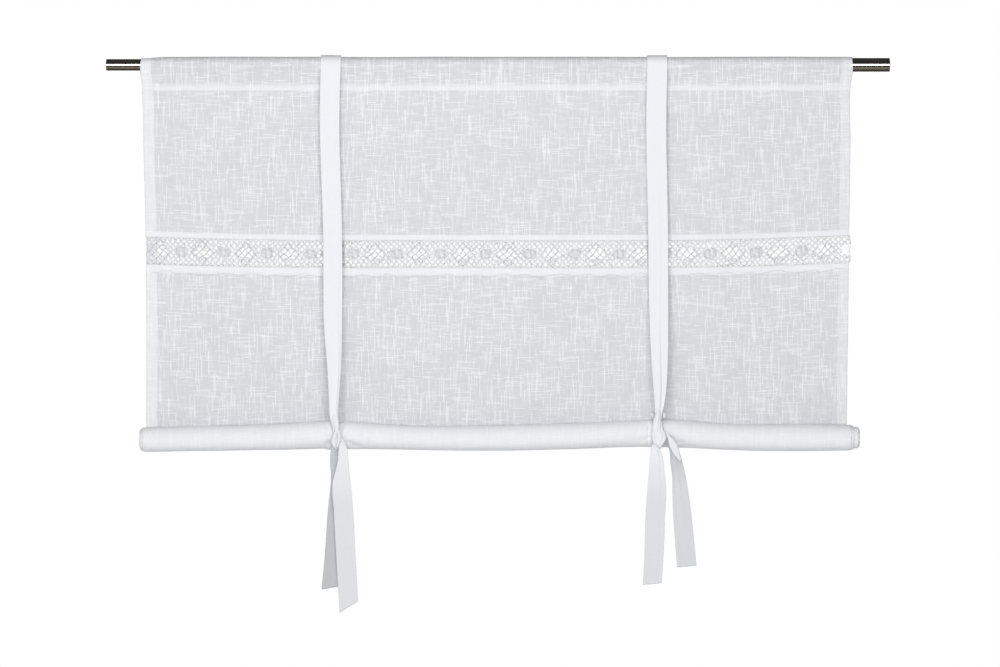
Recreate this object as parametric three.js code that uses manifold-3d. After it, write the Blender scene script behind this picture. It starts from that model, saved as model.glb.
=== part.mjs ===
// Tie-up roman blind on a telescopic curtain rod, in millimetres.
// The rod runs along X, the blind hangs down -Z and its front faces -Y. The origin is on the rod's axis at mid length.
import * as THREE from "three";
import { mergeVertices } from "three/addons/utils/BufferGeometryUtils.js";
import Module from "manifold-3d";

const wasm = await Module();
wasm.setup();

// Rod
const rodLength = 1091;
const outerTubeRadius = 9.5;
const innerTubeRadius = 8;
const tubeWall = 1;
const outerTubeStart = -464; // where the thin tube slides into the thick one
const tubeInsertion = 150;
const capFlange = 3;
const capStem = 12;
const fitGap = 0.4; // between pieces that slide or press together
const roundSegments = 32;

// Cloth
const clothThickness = 1.2;
const foldedThickness = 2; // side hems and seam strips are folded over
const seamGap = 0.4; // between two pieces sewn edge to edge
const leftHem = 15;
const rightHem = 13.8;
const pocketSeamZ = -35.5;
const pocketFoldHeight = 9.5; // the turned-in allowance above the pocket seam
const loopClearance = 1.5; // from the rod's surface to the middle of the cloth
const loopReach = 22; // degrees that the loop goes on below the rod's axis, at each side
const loopSteps = 12;

// Lace insert
const laceCentreZ = -263.8;
const laceHalfHeight = 18.8;
const laceLeft = -489.2;
const laceRight = 491.3;
const upperStrip = 8.1;
const lowerStrip = 10.6;
const edgeLift = { left: 4.8, right: 6.9 }; // the seams curve up towards both side hems
const liftStart = 190;
const liftSpan = 290;
const windowZero = -407.5; // place, pitch and stretch of the open windows along the lace
const windowPitch = 59.34;
const windowStretch = 0.181;
const windowNumbers = { first: -1, last: 14 };
const holeSpacing = { x: 10.3, z: 10.6 };
const holeHalf = { x: 3.8, z: 3.6 };

// Roll and ties
const rollSegments = 18;
const pinchDepth = 3.6; // how far a tie draws the roll in
const pinchHalfWidth = 8;
const pinchFade = 7;
const tieWidth = 28;
const tieThickness = 1.2;
const tieFolds = 3;
const foldHeightLimit = 2.6; // past this the gathered cloth crumples into finer creases
const tieGap = 0.7; // from the cloth to the tie's inner face
const tieLoopSteps = 10;
const knotHalf = { x: 9.6, y: 7.6, z: 14 };

// Side edges of the hanging cloth, from the heading down to the roll.
const sideEdges = [
  { z: 12, left: -496.5, right: 492.5 },
  { z: -10, left: -497.8, right: 493.4 },
  { z: -27, left: -496.2, right: 491.3 },
  { z: -110, left: -493.8, right: 490.9 },
  { z: -227, left: -490.6, right: 489.2 },
  { z: -361, left: -489.8, right: 488 },
  { z: -500, left: -491.4, right: 487.4 },
];

// The roll's middle and radius from one end to the other. It sags between the ties and bunches up beside them.
const rollForm = [
  { x: -498.6, z: -521.8, radius: 12.6 },
  { x: -495, z: -521.8, radius: 16.2 },
  { x: -487, z: -521.6, radius: 17.4 },
  { x: -415, z: -519.8, radius: 18.1 },
  { x: -359, z: -519.1, radius: 18.7 },
  { x: -304, z: -517.9, radius: 19.2 },
  { x: -262, z: -515.8, radius: 19.6 },
  { x: -223, z: -514.9, radius: 20 },
  { x: -178, z: -516.8, radius: 18.3 },
  { x: -109, z: -519.3, radius: 17.3 },
  { x: -40, z: -519.6, radius: 18 },
  { x: 72, z: -517.7, radius: 18.7 },
  { x: 142, z: -515.4, radius: 19.1 },
  { x: 187, z: -513.5, radius: 19.3 },
  { x: 222, z: -513.2, radius: 19.8 },
  { x: 267, z: -514.5, radius: 19.2 },
  { x: 309, z: -517.2, radius: 18.5 },
  { x: 365, z: -519.1, radius: 18.8 },
  { x: 421, z: -518.6, radius: 19.5 },
  { x: 489, z: -519, radius: 18.9 },
  { x: 491.5, z: -519, radius: 16.4 },
  { x: 498.5, z: -518.8, radius: 14.6 },
  { x: 500, z: -518.6, radius: 11.8 },
  { x: 503.3, z: -518.4, radius: 10.2 },
];

// Each tie: the width it shows at each height in front, its knot, and its two free tails.
// A tail's skew is how much higher its right edge is than its left one.
const ties = [
  {
    name: "tie_band_left",
    front: [
      { z: 0, x: -232.6, width: 28 },
      { z: -63, x: -234, width: 27.3 },
      { z: -244, x: -229.6, width: 26.2 },
      { z: -369, x: -228.8, width: 24.5 },
      { z: -425, x: -227.3, width: 18.7 },
      { z: -467, x: -227.5, width: 13.1 },
      { z: -495, x: -227.1, width: 8.4 },
      { z: -512, x: -224.5, width: 8 },
    ],
    knot: { x: -222.9, z: -524 },
    tails: [
      [
        { z: -524, x: -218, y: -31, width: 9, skew: 0 },
        { z: -537, x: -214.5, y: -35, width: 12.6, skew: 2 },
        { z: -556, x: -215.5, y: -34, width: 19, skew: 3 },
        { z: -576, x: -216.6, y: -32.5, width: 24, skew: 3 },
        { z: -623, x: -213.8, y: -31.5, width: 26.8, skew: 2 },
        { z: -681, x: -210.8, y: -31, width: 26.8, skew: 3 },
        { z: -725, x: -208.2, y: -31, width: 26.4, skew: 9 },
        { z: -753.4, x: -206.7, y: -31, width: 25.8, skew: 16 },
      ],
      [
        { z: -528, x: -226.5, y: -24, width: 8, skew: 0 },
        { z: -548, x: -226.8, y: -24.5, width: 11.8, skew: 0 },
        { z: -571, x: -221.8, y: -25, width: 19.6, skew: -2 },
        { z: -623, x: -224.6, y: -24.5, width: 23, skew: -1 },
        { z: -690, x: -229.5, y: -24, width: 23, skew: 2 },
        { z: -727.5, x: -233, y: -24, width: 23.4, skew: 4 },
      ],
    ],
  },
  {
    name: "tie_band_right",
    front: [
      { z: 0, x: 221.5, width: 28 },
      { z: -63, x: 220.2, width: 28 },
      { z: -244, x: 222.5, width: 27.6 },
      { z: -327, x: 223, width: 26.8 },
      { z: -397, x: 224.1, width: 23.8 },
      { z: -439, x: 224.7, width: 19.6 },
      { z: -467, x: 224.3, width: 13.9 },
      { z: -483, x: 223.4, width: 8.4 },
      { z: -504, x: 221, width: 8 },
    ],
    knot: { x: 222, z: -517 },
    tails: [
      [
        { z: -522, x: 219, y: -30, width: 9, skew: 0 },
        { z: -537, x: 219.4, y: -34, width: 15, skew: -2 },
        { z: -566, x: 219.9, y: -33, width: 21.5, skew: -3 },
        { z: -592, x: 220.1, y: -32, width: 26.4, skew: -2 },
        { z: -623, x: 218.2, y: -31.5, width: 27.2, skew: 0 },
        { z: -676, x: 216.4, y: -31, width: 26.8, skew: 1 },
        { z: -721.5, x: 213.8, y: -31, width: 26.4, skew: 2.4 },
      ],
      [
        { z: -514, x: 228, y: -27, width: 8, skew: 0 },
        { z: -536, x: 243, y: -29, width: 12.2, skew: 5 },
        { z: -550, x: 246.5, y: -28, width: 15, skew: 6 },
        { z: -571, x: 250.6, y: -26, width: 18, skew: 4 },
        { z: -592, x: 252.5, y: -25.5, width: 21.5, skew: 3 },
        { z: -623, x: 255.4, y: -25, width: 25, skew: 2 },
        { z: -662, x: 258.7, y: -25, width: 26.4, skew: 2 },
        { z: -697.5, x: 262, y: -25, width: 26.8, skew: 2.4 },
      ],
    ],
  },
];

const clamp01 = (t) => Math.min(1, Math.max(0, t));
const smooth = (t) => clamp01(t) ** 2 * (3 - 2 * clamp01(t));
const radians = (degrees) => (degrees * Math.PI) / 180;

// Reads one column of a table between its rows. The rows run along the key column, up or down.
function along(rows, key, value, at) {
  const rising = rows[rows.length - 1][key] > rows[0][key];
  const passed = (row) => (rising ? at <= row[key] : at >= row[key]);
  const next = Math.max(1, rows.findIndex(passed));
  const after = rows[at === rows[0][key] ? 1 : passed(rows[rows.length - 1]) ? next : rows.length - 1];
  const before = rows[rows.indexOf(after) - 1];
  const share = clamp01((at - before[key]) / (after[key] - before[key]));
  return before[value] + share * (after[value] - before[value]);
}

const edgeRamp = (distance) => clamp01((distance - liftStart) / liftSpan) ** 2;
const laceMiddle = (x) => laceCentreZ + edgeLift.left * edgeRamp(-x) + edgeLift.right * edgeRamp(x);
const laceTop = (x) => laceMiddle(x) + laceHalfHeight;
const laceBottom = (x) => laceMiddle(x) - laceHalfHeight;

// How far the hanging cloth stands off the plane under the rod: broad soft waves that grow downwards.
function wave(x, z) {
  const depth = smooth((pocketSeamZ - z) / 220);
  const broad = 1.5 * Math.sin(x / 62 + 0.6) + 1.1 * Math.sin(x / 31 + 2.1) + 0.9 * Math.sin(x / 104 - z / 90);
  return depth * broad;
}

// How much the ties draw the roll in at a place along it.
function pinch(x) {
  const deepest = ties.map(({ knot }) => 1 - smooth((Math.abs(x - knot.x) - pinchHalfWidth) / pinchFade));
  return pinchDepth * Math.max(...deepest);
}
const rollMiddle = (x) => along(rollForm, "x", "z", x);
const rollRadius = (x) => along(rollForm, "x", "radius", x) - pinch(x);

// A closed solid between two matching grids of points, side 0 facing out and side 1 facing in, joined round the rim.
function sheetGeometry(columns, rows, pointAt) {
  const positions = [];
  const index = [];
  for (const side of [0, 1]) {
    for (let j = 0; j < rows; j += 1) {
      for (let i = 0; i < columns; i += 1) positions.push(...pointAt(i, j, side));
    }
  }
  const at = (i, j, side) => (side * rows + j) * columns + i;
  const quad = (a, b, c, d) => index.push(a, b, c, a, c, d);
  const right = columns - 1;
  const bottom = rows - 1;
  for (let j = 0; j < bottom; j += 1) {
    for (let i = 0; i < right; i += 1) {
      quad(at(i, j, 0), at(i, j + 1, 0), at(i + 1, j + 1, 0), at(i + 1, j, 0));
      quad(at(i, j, 1), at(i + 1, j, 1), at(i + 1, j + 1, 1), at(i, j + 1, 1));
    }
    quad(at(0, j, 0), at(0, j, 1), at(0, j + 1, 1), at(0, j + 1, 0));
    quad(at(right, j, 0), at(right, j + 1, 0), at(right, j + 1, 1), at(right, j, 1));
  }
  for (let i = 0; i < right; i += 1) {
    quad(at(i, 0, 0), at(i + 1, 0, 0), at(i + 1, 0, 1), at(i, 0, 1));
    quad(at(i, bottom, 0), at(i, bottom, 1), at(i + 1, bottom, 1), at(i + 1, bottom, 0));
  }
  const geometry = new THREE.BufferGeometry();
  geometry.setAttribute("position", new THREE.Float32BufferAttribute(positions, 3));
  geometry.setIndex(index);
  return geometry;
}

// A three.js geometry as a manifold solid, and back.
function solidOf(geometry) {
  const bare = geometry.clone();
  bare.deleteAttribute("normal");
  bare.deleteAttribute("uv");
  const merged = mergeVertices(bare, 1e-4);
  const vertProperties = new Float32Array(merged.attributes.position.array);
  const triVerts = new Uint32Array(merged.index.array);
  return new wasm.Manifold(new wasm.Mesh({ numProp: 3, vertProperties, triVerts }));
}

function geometryOf(solid) {
  const mesh = solid.getMesh();
  const geometry = new THREE.BufferGeometry();
  geometry.setAttribute("position", new THREE.Float32BufferAttribute(mesh.vertProperties, 3));
  geometry.setIndex(new THREE.Uint32BufferAttribute(mesh.triVerts, 1));
  geometry.computeVertexNormals();
  return geometry;
}

const union = (geometries) => geometryOf(geometries.map(solidOf).reduce((whole, piece) => whole.add(piece)));

// Places across the cloth. Those between the hems keep their x at every height, and stand close together at the
// ties. Those of a hem keep their distance from its edge.
const tieSteps = [-21, -15, -8, 0, 8, 15, 21];
const plainPlaces = Array.from({ length: 15 }, (_, k) => -448 + (k * 896) / 14);
const farFromTies = (x) => ties.every(({ knot }) => Math.abs(x - knot.x) > 26);
const placesX = [
  outerTubeStart - 2,
  ...plainPlaces.filter(farFromTies),
  ...ties.flatMap(({ knot }) => tieSteps.map((step) => knot.x + step)),
].sort((a, b) => a - b);
const hemStep = 0.6; // the fold's edge drops to the single layer over this width
const acrossCloth = [
  { edge: "left", inset: 0, folded: true },
  { edge: "left", inset: leftHem, folded: true },
  { edge: "left", inset: leftHem + hemStep, folded: false },
  ...placesX.map((x) => ({ x, folded: false })),
  { edge: "right", inset: -rightHem - hemStep, folded: false },
  { edge: "right", inset: -rightHem, folded: true },
  { edge: "right", inset: 0, folded: true },
];

const clothX = (place, z) => place.x ?? along(sideEdges, "z", place.edge, z) + place.inset;

// Builds a cloth solid from sections: each row gives, for a place x across the cloth, the middle of its layer,
// the direction out of the cloth and whether the cloth is folded double there.
function clothGeometry(sectionRows) {
  return sheetGeometry(acrossCloth.length, sectionRows.length, (i, j, side) => {
    const place = acrossCloth[i];
    const row = sectionRows[j];
    const x = clothX(place, row.levelZ);
    const { y, z, outY, outZ } = row.at(x);
    const half = (place.folded || row.folded ? foldedThickness : clothThickness) / 2;
    const shift = side === 0 ? half : -half;
    return [x, y + outY * shift, z + outZ * shift];
  });
}

// The loop's radius at the middle of the cloth: it follows the thick tube, and the thin one at the left end.
function loopRadius(x) {
  const overThinTube = smooth((outerTubeStart - 3 - x) / 14);
  return outerTubeRadius + loopClearance - overThinTube * (outerTubeRadius - innerTubeRadius);
}

const flatRow = (zAt, folded, yAt) => ({
  levelZ: zAt(0),
  folded,
  at: (x) => ({ y: yAt ? yAt(x) : wave(x, zAt(x)), z: zAt(x), outY: -1, outZ: 0 }),
});

function loopRow(angle) {
  const outY = Math.cos(radians(angle));
  const outZ = Math.sin(radians(angle));
  return {
    levelZ: outZ * outerTubeRadius,
    folded: false,
    at: (x) => ({ y: loopRadius(x) * outY, z: loopRadius(x) * outZ, outY, outZ }),
  };
}

function upperPanel() {
  const frontLayer = -0.9;
  const backLayer = 1.3;
  const foldTop = pocketSeamZ + pocketFoldHeight;
  const seamEnd = pocketSeamZ - 1.2;
  const backRow = (z, y) => ({ levelZ: z, folded: false, at: () => ({ y, z, outY: 1, outZ: 0 }) });
  const level = (z) => () => z;
  const rows = [backRow(seamEnd, backLayer), backRow(foldTop, backLayer + 0.4)];
  for (let k = 0; k <= loopSteps; k += 1) {
    rows.push(loopRow(-loopReach + (k * (180 + 2 * loopReach)) / loopSteps));
  }
  rows.push(flatRow(level(foldTop), false, () => frontLayer - 0.4));
  rows.push(flatRow(level(pocketSeamZ), false, () => frontLayer));
  for (const z of [-80, -130, -185]) rows.push(flatRow(level(z), false));
  rows.push(flatRow((x) => laceTop(x) + upperStrip + hemStep, false));
  rows.push(flatRow((x) => laceTop(x) + upperStrip, true));
  rows.push(flatRow((x) => laceTop(x) + seamGap / 2, true));

  // The stitched seam that closes the rod pocket joins the back layer to the front one.
  const seamInset = 1;
  const seamLeft = along(sideEdges, "z", "left", pocketSeamZ) + seamInset;
  const seamRight = along(sideEdges, "z", "right", pocketSeamZ) - seamInset;
  const seam = new THREE.BoxGeometry(seamRight - seamLeft, backLayer - frontLayer, 1.6);
  seam.translate((seamLeft + seamRight) / 2, (frontLayer + backLayer) / 2, pocketSeamZ);
  return union([clothGeometry(rows), seam]);
}

// The lace is one thin strip with nine diamond holes in each open window.
function laceInsert() {
  const laceEdges = { left: laceLeft, right: laceRight };
  const across = acrossCloth.map((place) => place.x ?? laceEdges[place.edge] + place.inset);
  const levels = [1, -1];
  const strip = sheetGeometry(across.length, levels.length, (i, j, side) => {
    const x = across[i];
    const z = laceMiddle(x) + levels[j] * (laceHalfHeight - seamGap / 2);
    return [x, wave(x, z) + (side === 0 ? -1 : 1) * (clothThickness / 2), z];
  });
  const cutDepth = 24;
  let holes = null;
  for (let k = windowNumbers.first; k <= windowNumbers.last; k += 1) {
    const windowX = windowZero + windowPitch * k + windowStretch * k * k;
    for (const p of [-1, 0, 1]) {
      for (const q of [-1, 0, 1]) {
        const diamond = new THREE.Shape();
        diamond.moveTo(holeHalf.x, 0);
        diamond.lineTo(0, holeHalf.z);
        diamond.lineTo(-holeHalf.x, 0);
        diamond.lineTo(0, -holeHalf.z);
        const hole = new THREE.ExtrudeGeometry(diamond, { depth: cutDepth, bevelEnabled: false });
        hole.rotateX(Math.PI / 2);
        const z = laceMiddle(windowX) + ((p - q) * holeSpacing.z) / 2;
        hole.translate(windowX + ((p + q) * holeSpacing.x) / 2, cutDepth / 2, z);
        const cut = solidOf(hole);
        holes = holes ? holes.add(cut) : cut;
      }
    }
  }
  return geometryOf(solidOf(strip).subtract(holes));
}

// The lower cloth runs down behind the roll and turns into it: one cloth, rolled up towards the front.
function lowerPanel() {
  const behindRoll = (x) => rollRadius(x) - clothThickness / 2;
  const backY = (x, z) => {
    const settle = smooth((laceBottom(x) - z) / (laceBottom(x) - rollMiddle(x) - 12));
    return wave(x, z) * (1 - settle) + settle * behindRoll(x);
  };
  const sheetRow = (zAt, folded) => flatRow(zAt, folded, (x) => backY(x, zAt(x)));
  const share = (part) => (x) => laceBottom(x) - lowerStrip + part * (rollMiddle(x) + lowerStrip - laceBottom(x));
  const rows = [
    sheetRow((x) => laceBottom(x) - seamGap / 2, true),
    sheetRow((x) => laceBottom(x) - lowerStrip, true),
    sheetRow((x) => laceBottom(x) - lowerStrip - hemStep, false),
    ...[0.2, 0.38, 0.54, 0.68, 0.8, 0.9, 1].map((part) => sheetRow(share(part), false)),
  ];
  return union([clothGeometry(rows), rollGeometry()]);
}

// The roll is wound up: its section is an uneven circle, and its ends step in from layer to layer.
function rollGeometry() {
  const tieEdges = ties.flatMap(({ knot }) => tieSteps.map((step) => knot.x + step));
  const clearOfTies = rollForm.map(({ x }) => x).filter(farFromTies);
  const sections = [...clearOfTies, ...tieEdges].sort((a, b) => a - b);
  const positions = [];
  const index = [];
  for (const x of sections) {
    for (let k = 0; k < rollSegments; k += 1) {
      const angle = (k / rollSegments) * 2 * Math.PI;
      const uneven = 1 + 0.018 * Math.sin(2 * angle + x / 70) + 0.012 * Math.sin(3 * angle - x / 45);
      const radius = rollRadius(x) * uneven;
      positions.push(x, radius * Math.cos(angle), rollMiddle(x) + radius * Math.sin(angle));
    }
  }
  const at = (j, k) => j * rollSegments + (k % rollSegments);
  for (let j = 0; j < sections.length - 1; j += 1) {
    for (let k = 0; k < rollSegments; k += 1) {
      index.push(at(j, k), at(j, k + 1), at(j + 1, k + 1), at(j, k), at(j + 1, k + 1), at(j + 1, k));
    }
  }
  const last = sections.length - 1;
  for (let k = 1; k < rollSegments - 1; k += 1) {
    index.push(at(0, 0), at(0, k + 1), at(0, k), at(last, 0), at(last, k), at(last, k + 1));
  }
  const geometry = new THREE.BufferGeometry();
  geometry.setAttribute("position", new THREE.Float32BufferAttribute(positions, 3));
  geometry.setIndex(index);
  return geometry;
}

// A tie's strip through stations. Each station has a middle point, the way out of the strip in the YZ plane,
// and the width that shows. A width under the flat one is taken up in folds, so the cloth keeps its length.
function stripGeometry(stations, flatWidth) {
  const across = 2 * tieFolds + 1;
  const profile = (station) => {
    const legShown = station.width / tieFolds;
    const legFlat = Math.max(flatWidth, station.width) / tieFolds;
    const height = Math.min(foldHeightLimit, Math.sqrt(legFlat ** 2 - legShown ** 2) / 2);
    return Array.from({ length: across }, (_, i) => {
      const u = (2 * i) / (across - 1) - 1;
      return { side: (u * station.width) / 2, out: height * Math.cos(((u + 1) * tieFolds * Math.PI) / 2) };
    });
  };
  return sheetGeometry(across, stations.length, (i, j, side) => {
    const station = stations[j];
    const points = profile(station);
    const before = points[Math.max(0, i - 1)];
    const after = points[Math.min(across - 1, i + 1)];
    const run = Math.hypot(after.side - before.side, after.out - before.out);
    const normalSide = -(after.out - before.out) / run;
    const normalOut = (after.side - before.side) / run;
    const shift = (side === 0 ? 1 : -1) * (tieThickness / 2);
    const out = points[i].out + normalOut * shift;
    const tilt = ((station.skew ?? 0) * points[i].side) / station.width;
    return [
      station.x + points[i].side + normalSide * shift,
      station.y + station.outY * out,
      station.z + station.outZ * out + tilt,
    ];
  });
}

// The route of a tie: round under the roll from the knot, up behind the cloth, over the heading and down in front.
function tieRoute(tie) {
  const { knot, front } = tie;
  const middleZ = rollMiddle(knot.x);
  const wrapWidth = 13;
  const wrapRadius = rollRadius(knot.x) * 1.03 + tieGap + foldHeightLimit + tieThickness / 2;
  const stations = [];
  for (const angle of [-165, -140, -115, -90, -65, -40, -15]) {
    const outY = Math.cos(radians(angle));
    const outZ = Math.sin(radians(angle));
    const y = wrapRadius * outY;
    stations.push({ x: knot.x, y, z: middleZ + wrapRadius * outZ, outY, outZ, width: wrapWidth });
  }
  const overRadius = outerTubeRadius + loopClearance + clothThickness / 2 + 1 + tieThickness / 2;
  for (const share of [0.06, 0.16, 0.3, 0.55, 0.8]) {
    const z = middleZ + share * -middleZ;
    const x = knot.x + share * (front[0].x - knot.x);
    const y = wrapRadius + smooth(share * 1.2) * (overRadius - wrapRadius);
    const width = wrapWidth + smooth(share * 2.4) * (tieWidth - wrapWidth);
    stations.push({ x, y, z, outY: 1, outZ: 0, width });
  }
  for (let k = 0; k <= tieLoopSteps; k += 1) {
    const angle = radians(-loopReach / 2 + (k * (180 + loopReach)) / tieLoopSteps);
    const outY = Math.cos(angle);
    const outZ = Math.sin(angle);
    stations.push({ x: front[0].x, y: overRadius * outY, z: overRadius * outZ, outY, outZ, width: tieWidth });
  }
  const frontY = -wrapRadius - 2;
  for (const row of front.slice(1)) {
    const y = -overRadius + smooth(row.z / middleZ) * (frontY + overRadius);
    stations.push({ x: row.x, y, z: row.z, outY: -1, outZ: 0, width: row.width });
  }
  return stations;
}

// The knot is a lump drawn tight: an ellipsoid whose surface rises where the tie crosses over it.
function knotGeometry({ x, z }, y) {
  const knot = new THREE.SphereGeometry(1, 14, 9);
  const point = new THREE.Vector3();
  const positions = knot.attributes.position;
  for (let i = 0; i < positions.count; i += 1) {
    point.fromBufferAttribute(positions, i);
    const ridge = 1 + 0.1 * Math.cos(2 * Math.atan2(point.z, point.x) + 4 * point.y) * (1 - point.y ** 2);
    positions.setXYZ(i, x + point.x * knotHalf.x * ridge, y + point.z * knotHalf.y, z + point.y * knotHalf.z * ridge);
  }
  // The sphere's axis is turned from Y to Z by swapping two axes, so each face is turned back.
  const index = knot.index.array;
  for (let t = 0; t < index.length; t += 3) [index[t + 1], index[t + 2]] = [index[t + 2], index[t + 1]];
  return knot;
}

function tieBand(tie) {
  const route = tieRoute(tie);
  const knotY = route[0].y - 6;
  const tails = tie.tails.map((rows) => {
    return stripGeometry(rows.map((row) => ({ ...row, outY: -1, outZ: 0 })), tieWidth - 1);
  });
  return union([stripGeometry(route, tieWidth), knotGeometry(tie.knot, knotY), ...tails]);
}

// Tube, closed ring section turned round its axis and laid along X from one end to the other.
function tubeGeometry(radius, from, to) {
  const bore = radius - tubeWall;
  const length = to - from;
  const profile = [
    [bore, 0],
    [radius, 0],
    [radius, length],
    [bore, length],
    [bore, 0],
  ].map(([r, h]) => new THREE.Vector2(r, h));
  return new THREE.LatheGeometry(profile, roundSegments).rotateZ(-Math.PI / 2).translate(from, 0, 0);
}

// End cap: a flat flange as wide as its tube and a stem that fills the bore. It faces the way of facing, -1 or 1.
function capGeometry(radius, outerX, facing) {
  const stemRadius = radius - tubeWall - fitGap;
  const profile = [
    [0, 0],
    [radius, 0],
    [radius, capFlange],
    [stemRadius, capFlange],
    [stemRadius, capFlange + capStem],
    [0, capFlange + capStem],
  ].map(([r, h]) => new THREE.Vector2(r, h));
  return new THREE.LatheGeometry(profile, roundSegments).rotateZ((facing * Math.PI) / 2).translate(outerX, 0, 0);
}

const steel = new THREE.MeshStandardMaterial({ color: 0x9c9a94, metalness: 1, roughness: 0.16 });
const capSteel = new THREE.MeshStandardMaterial({ color: 0x8b8984, metalness: 1, roughness: 0.25 });
const voile = new THREE.MeshStandardMaterial({ color: 0xeeeff2, roughness: 0.9 });
const laceThread = new THREE.MeshStandardMaterial({ color: 0xf3f3f4, roughness: 0.85 });
const tieCloth = new THREE.MeshStandardMaterial({ color: 0xf5f6f8, roughness: 0.88 });

const capGap = 0.3;
const rodEnd = rodLength / 2;
const tubeEnd = rodEnd - capFlange - capGap;
const pieces = [
  ["rod_outer_tube", tubeGeometry(outerTubeRadius, outerTubeStart, tubeEnd), steel],
  ["rod_inner_tube", tubeGeometry(innerTubeRadius, -tubeEnd, outerTubeStart + tubeInsertion), steel],
  ["rod_end_cap_left", capGeometry(innerTubeRadius, -rodEnd, -1), capSteel],
  ["rod_end_cap_right", capGeometry(outerTubeRadius, rodEnd, 1), capSteel],
  ["upper_panel", upperPanel(), voile],
  ["lace_insert", laceInsert(), laceThread],
  ["lower_panel", lowerPanel(), voile],
  ...ties.map((tie) => [tie.name, tieBand(tie), tieCloth]),
];

const blind = new THREE.Group();
for (const [name, geometry, material] of pieces) {
  const mesh = new THREE.Mesh(geometry, material);
  mesh.name = name;
  blind.add(mesh);
}

export default blind;
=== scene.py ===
# Tie-up roman blind on a telescopic rod, in metres: rod along X, cloth hanging down -Z, front facing -Y.
import math

import bpy
import numpy as np
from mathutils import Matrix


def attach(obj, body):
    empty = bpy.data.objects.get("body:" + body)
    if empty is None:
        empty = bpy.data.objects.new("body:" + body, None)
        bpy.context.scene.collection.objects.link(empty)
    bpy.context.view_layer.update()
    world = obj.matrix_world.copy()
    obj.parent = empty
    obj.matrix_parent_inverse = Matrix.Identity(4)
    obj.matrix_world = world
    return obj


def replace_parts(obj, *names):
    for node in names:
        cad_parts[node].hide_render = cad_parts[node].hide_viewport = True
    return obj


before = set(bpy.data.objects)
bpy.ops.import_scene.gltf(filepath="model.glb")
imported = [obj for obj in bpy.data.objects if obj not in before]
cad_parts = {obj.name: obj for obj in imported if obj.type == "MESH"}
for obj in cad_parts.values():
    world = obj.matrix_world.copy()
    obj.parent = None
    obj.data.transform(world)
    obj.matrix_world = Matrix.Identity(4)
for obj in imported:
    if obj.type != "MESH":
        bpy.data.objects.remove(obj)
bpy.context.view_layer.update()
mm = 0.001
tau = 2 * math.pi
photo = {"pixel": 1.393, "column": 498, "row": 64.9, "columns": 1000}  # mm a pixel, where the rod's middle is, width


# Shader expressions

class Wire:
    # A socket of a material's nodes. Arithmetic on it adds Math nodes.
    def __init__(self, tree, socket):
        self.tree = tree
        self.socket = socket

    def maths(self, operation, *others, clamp=False):
        values = dict(enumerate((self, *others)))
        return self.tree.node("ShaderNodeMath", {"operation": operation, "use_clamp": clamp}, values)

    def __add__(self, other):
        return self.maths("ADD", other)

    def __sub__(self, other):
        return self.maths("SUBTRACT", other)

    def __mul__(self, other):
        return self.maths("MULTIPLY", other)

    def __truediv__(self, other):
        return self.maths("DIVIDE", other)

    def __rsub__(self, other):
        return self.tree.node("ShaderNodeMath", {"operation": "SUBTRACT"}, {0: other, 1: self})

    __radd__ = __add__
    __rmul__ = __mul__

    def floor(self):
        return self.maths("FLOOR")

    def fraction(self):
        return self.maths("FRACT")

    def sine(self):
        return self.maths("SINE")

    def clamped(self):
        return self.maths("ADD", 0.0, clamp=True)

    def ramp(self, low, high):
        # 0 below low, 1 above high, smooth between
        return self.tree.node("ShaderNodeMapRange", {"interpolation_type": "SMOOTHSTEP"},
                              {"Value": self, "From Min": low, "From Max": high})


class Tree:
    # The nodes of one material. node() adds any node: its type, its settings, then values or wires for its sockets.
    def __init__(self, name):
        self.material = bpy.data.materials.new(name)
        self.material.use_nodes = True
        self.nodes = self.material.node_tree.nodes
        self.links = self.material.node_tree.links
        self.shader = self.nodes["Principled BSDF"]

    def node(self, kind, settings=None, sockets=None, output=0):
        made = self.nodes.new(kind)
        for key, value in (settings or {}).items():
            setattr(made, key, value)
        for key, value in (sockets or {}).items():
            self.feed(made.inputs[key], value)
        return Wire(self, made.outputs[output])

    def feed(self, socket, value):
        if isinstance(value, Wire):
            self.links.new(value.socket, socket)
        else:
            socket.default_value = value

    def finish(self, **sockets):
        for key, value in sockets.items():
            self.feed(self.shader.inputs[key.replace("_", " ")], value)
        return self.material

    def flatPlace(self):
        # The place on the flat cloth, then across it and down it
        uv = self.node("ShaderNodeUVMap", {"uv_map": "UVMap"})
        return [uv] + [self.node("ShaderNodeSeparateXYZ", None, {0: uv}, k) for k in range(2)]

    def kept(self, name):
        # A number that the mesh keeps for each point
        return self.node("ShaderNodeAttribute", {"attribute_name": name}, None, 2)

    def mix(self, share, first, second):
        # Colours mixed: first where share is 0, second where it is 1
        made = self.nodes.new("ShaderNodeMix")
        made.data_type = "RGBA"
        self.feed(made.inputs["Factor"], share)
        self.feed(made.inputs[6], first)
        self.feed(made.inputs[7], second)
        return Wire(self, made.outputs[2])

    def bump(self, height, strength, distance):
        return self.node("ShaderNodeBump", None, {"Height": height, "Strength": strength, "Distance": distance})

    def lineNoise(self, place, detail=0.0):
        # Smooth noise along one number
        return self.node("ShaderNodeTexNoise", {"noise_dimensions": "1D"},
                         {"W": place, "Scale": 1.0, "Detail": detail})

    def cellValue(self, place):
        # One random value for each whole number
        return self.node("ShaderNodeTexWhiteNoise", {"noise_dimensions": "1D"}, {"W": place})


# Grids and meshes

def smoothStep(t):
    # Rises from 0 to 1 with level ends
    t = np.clip(t, 0, 1)
    return t * t * (3 - 2 * t)


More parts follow.
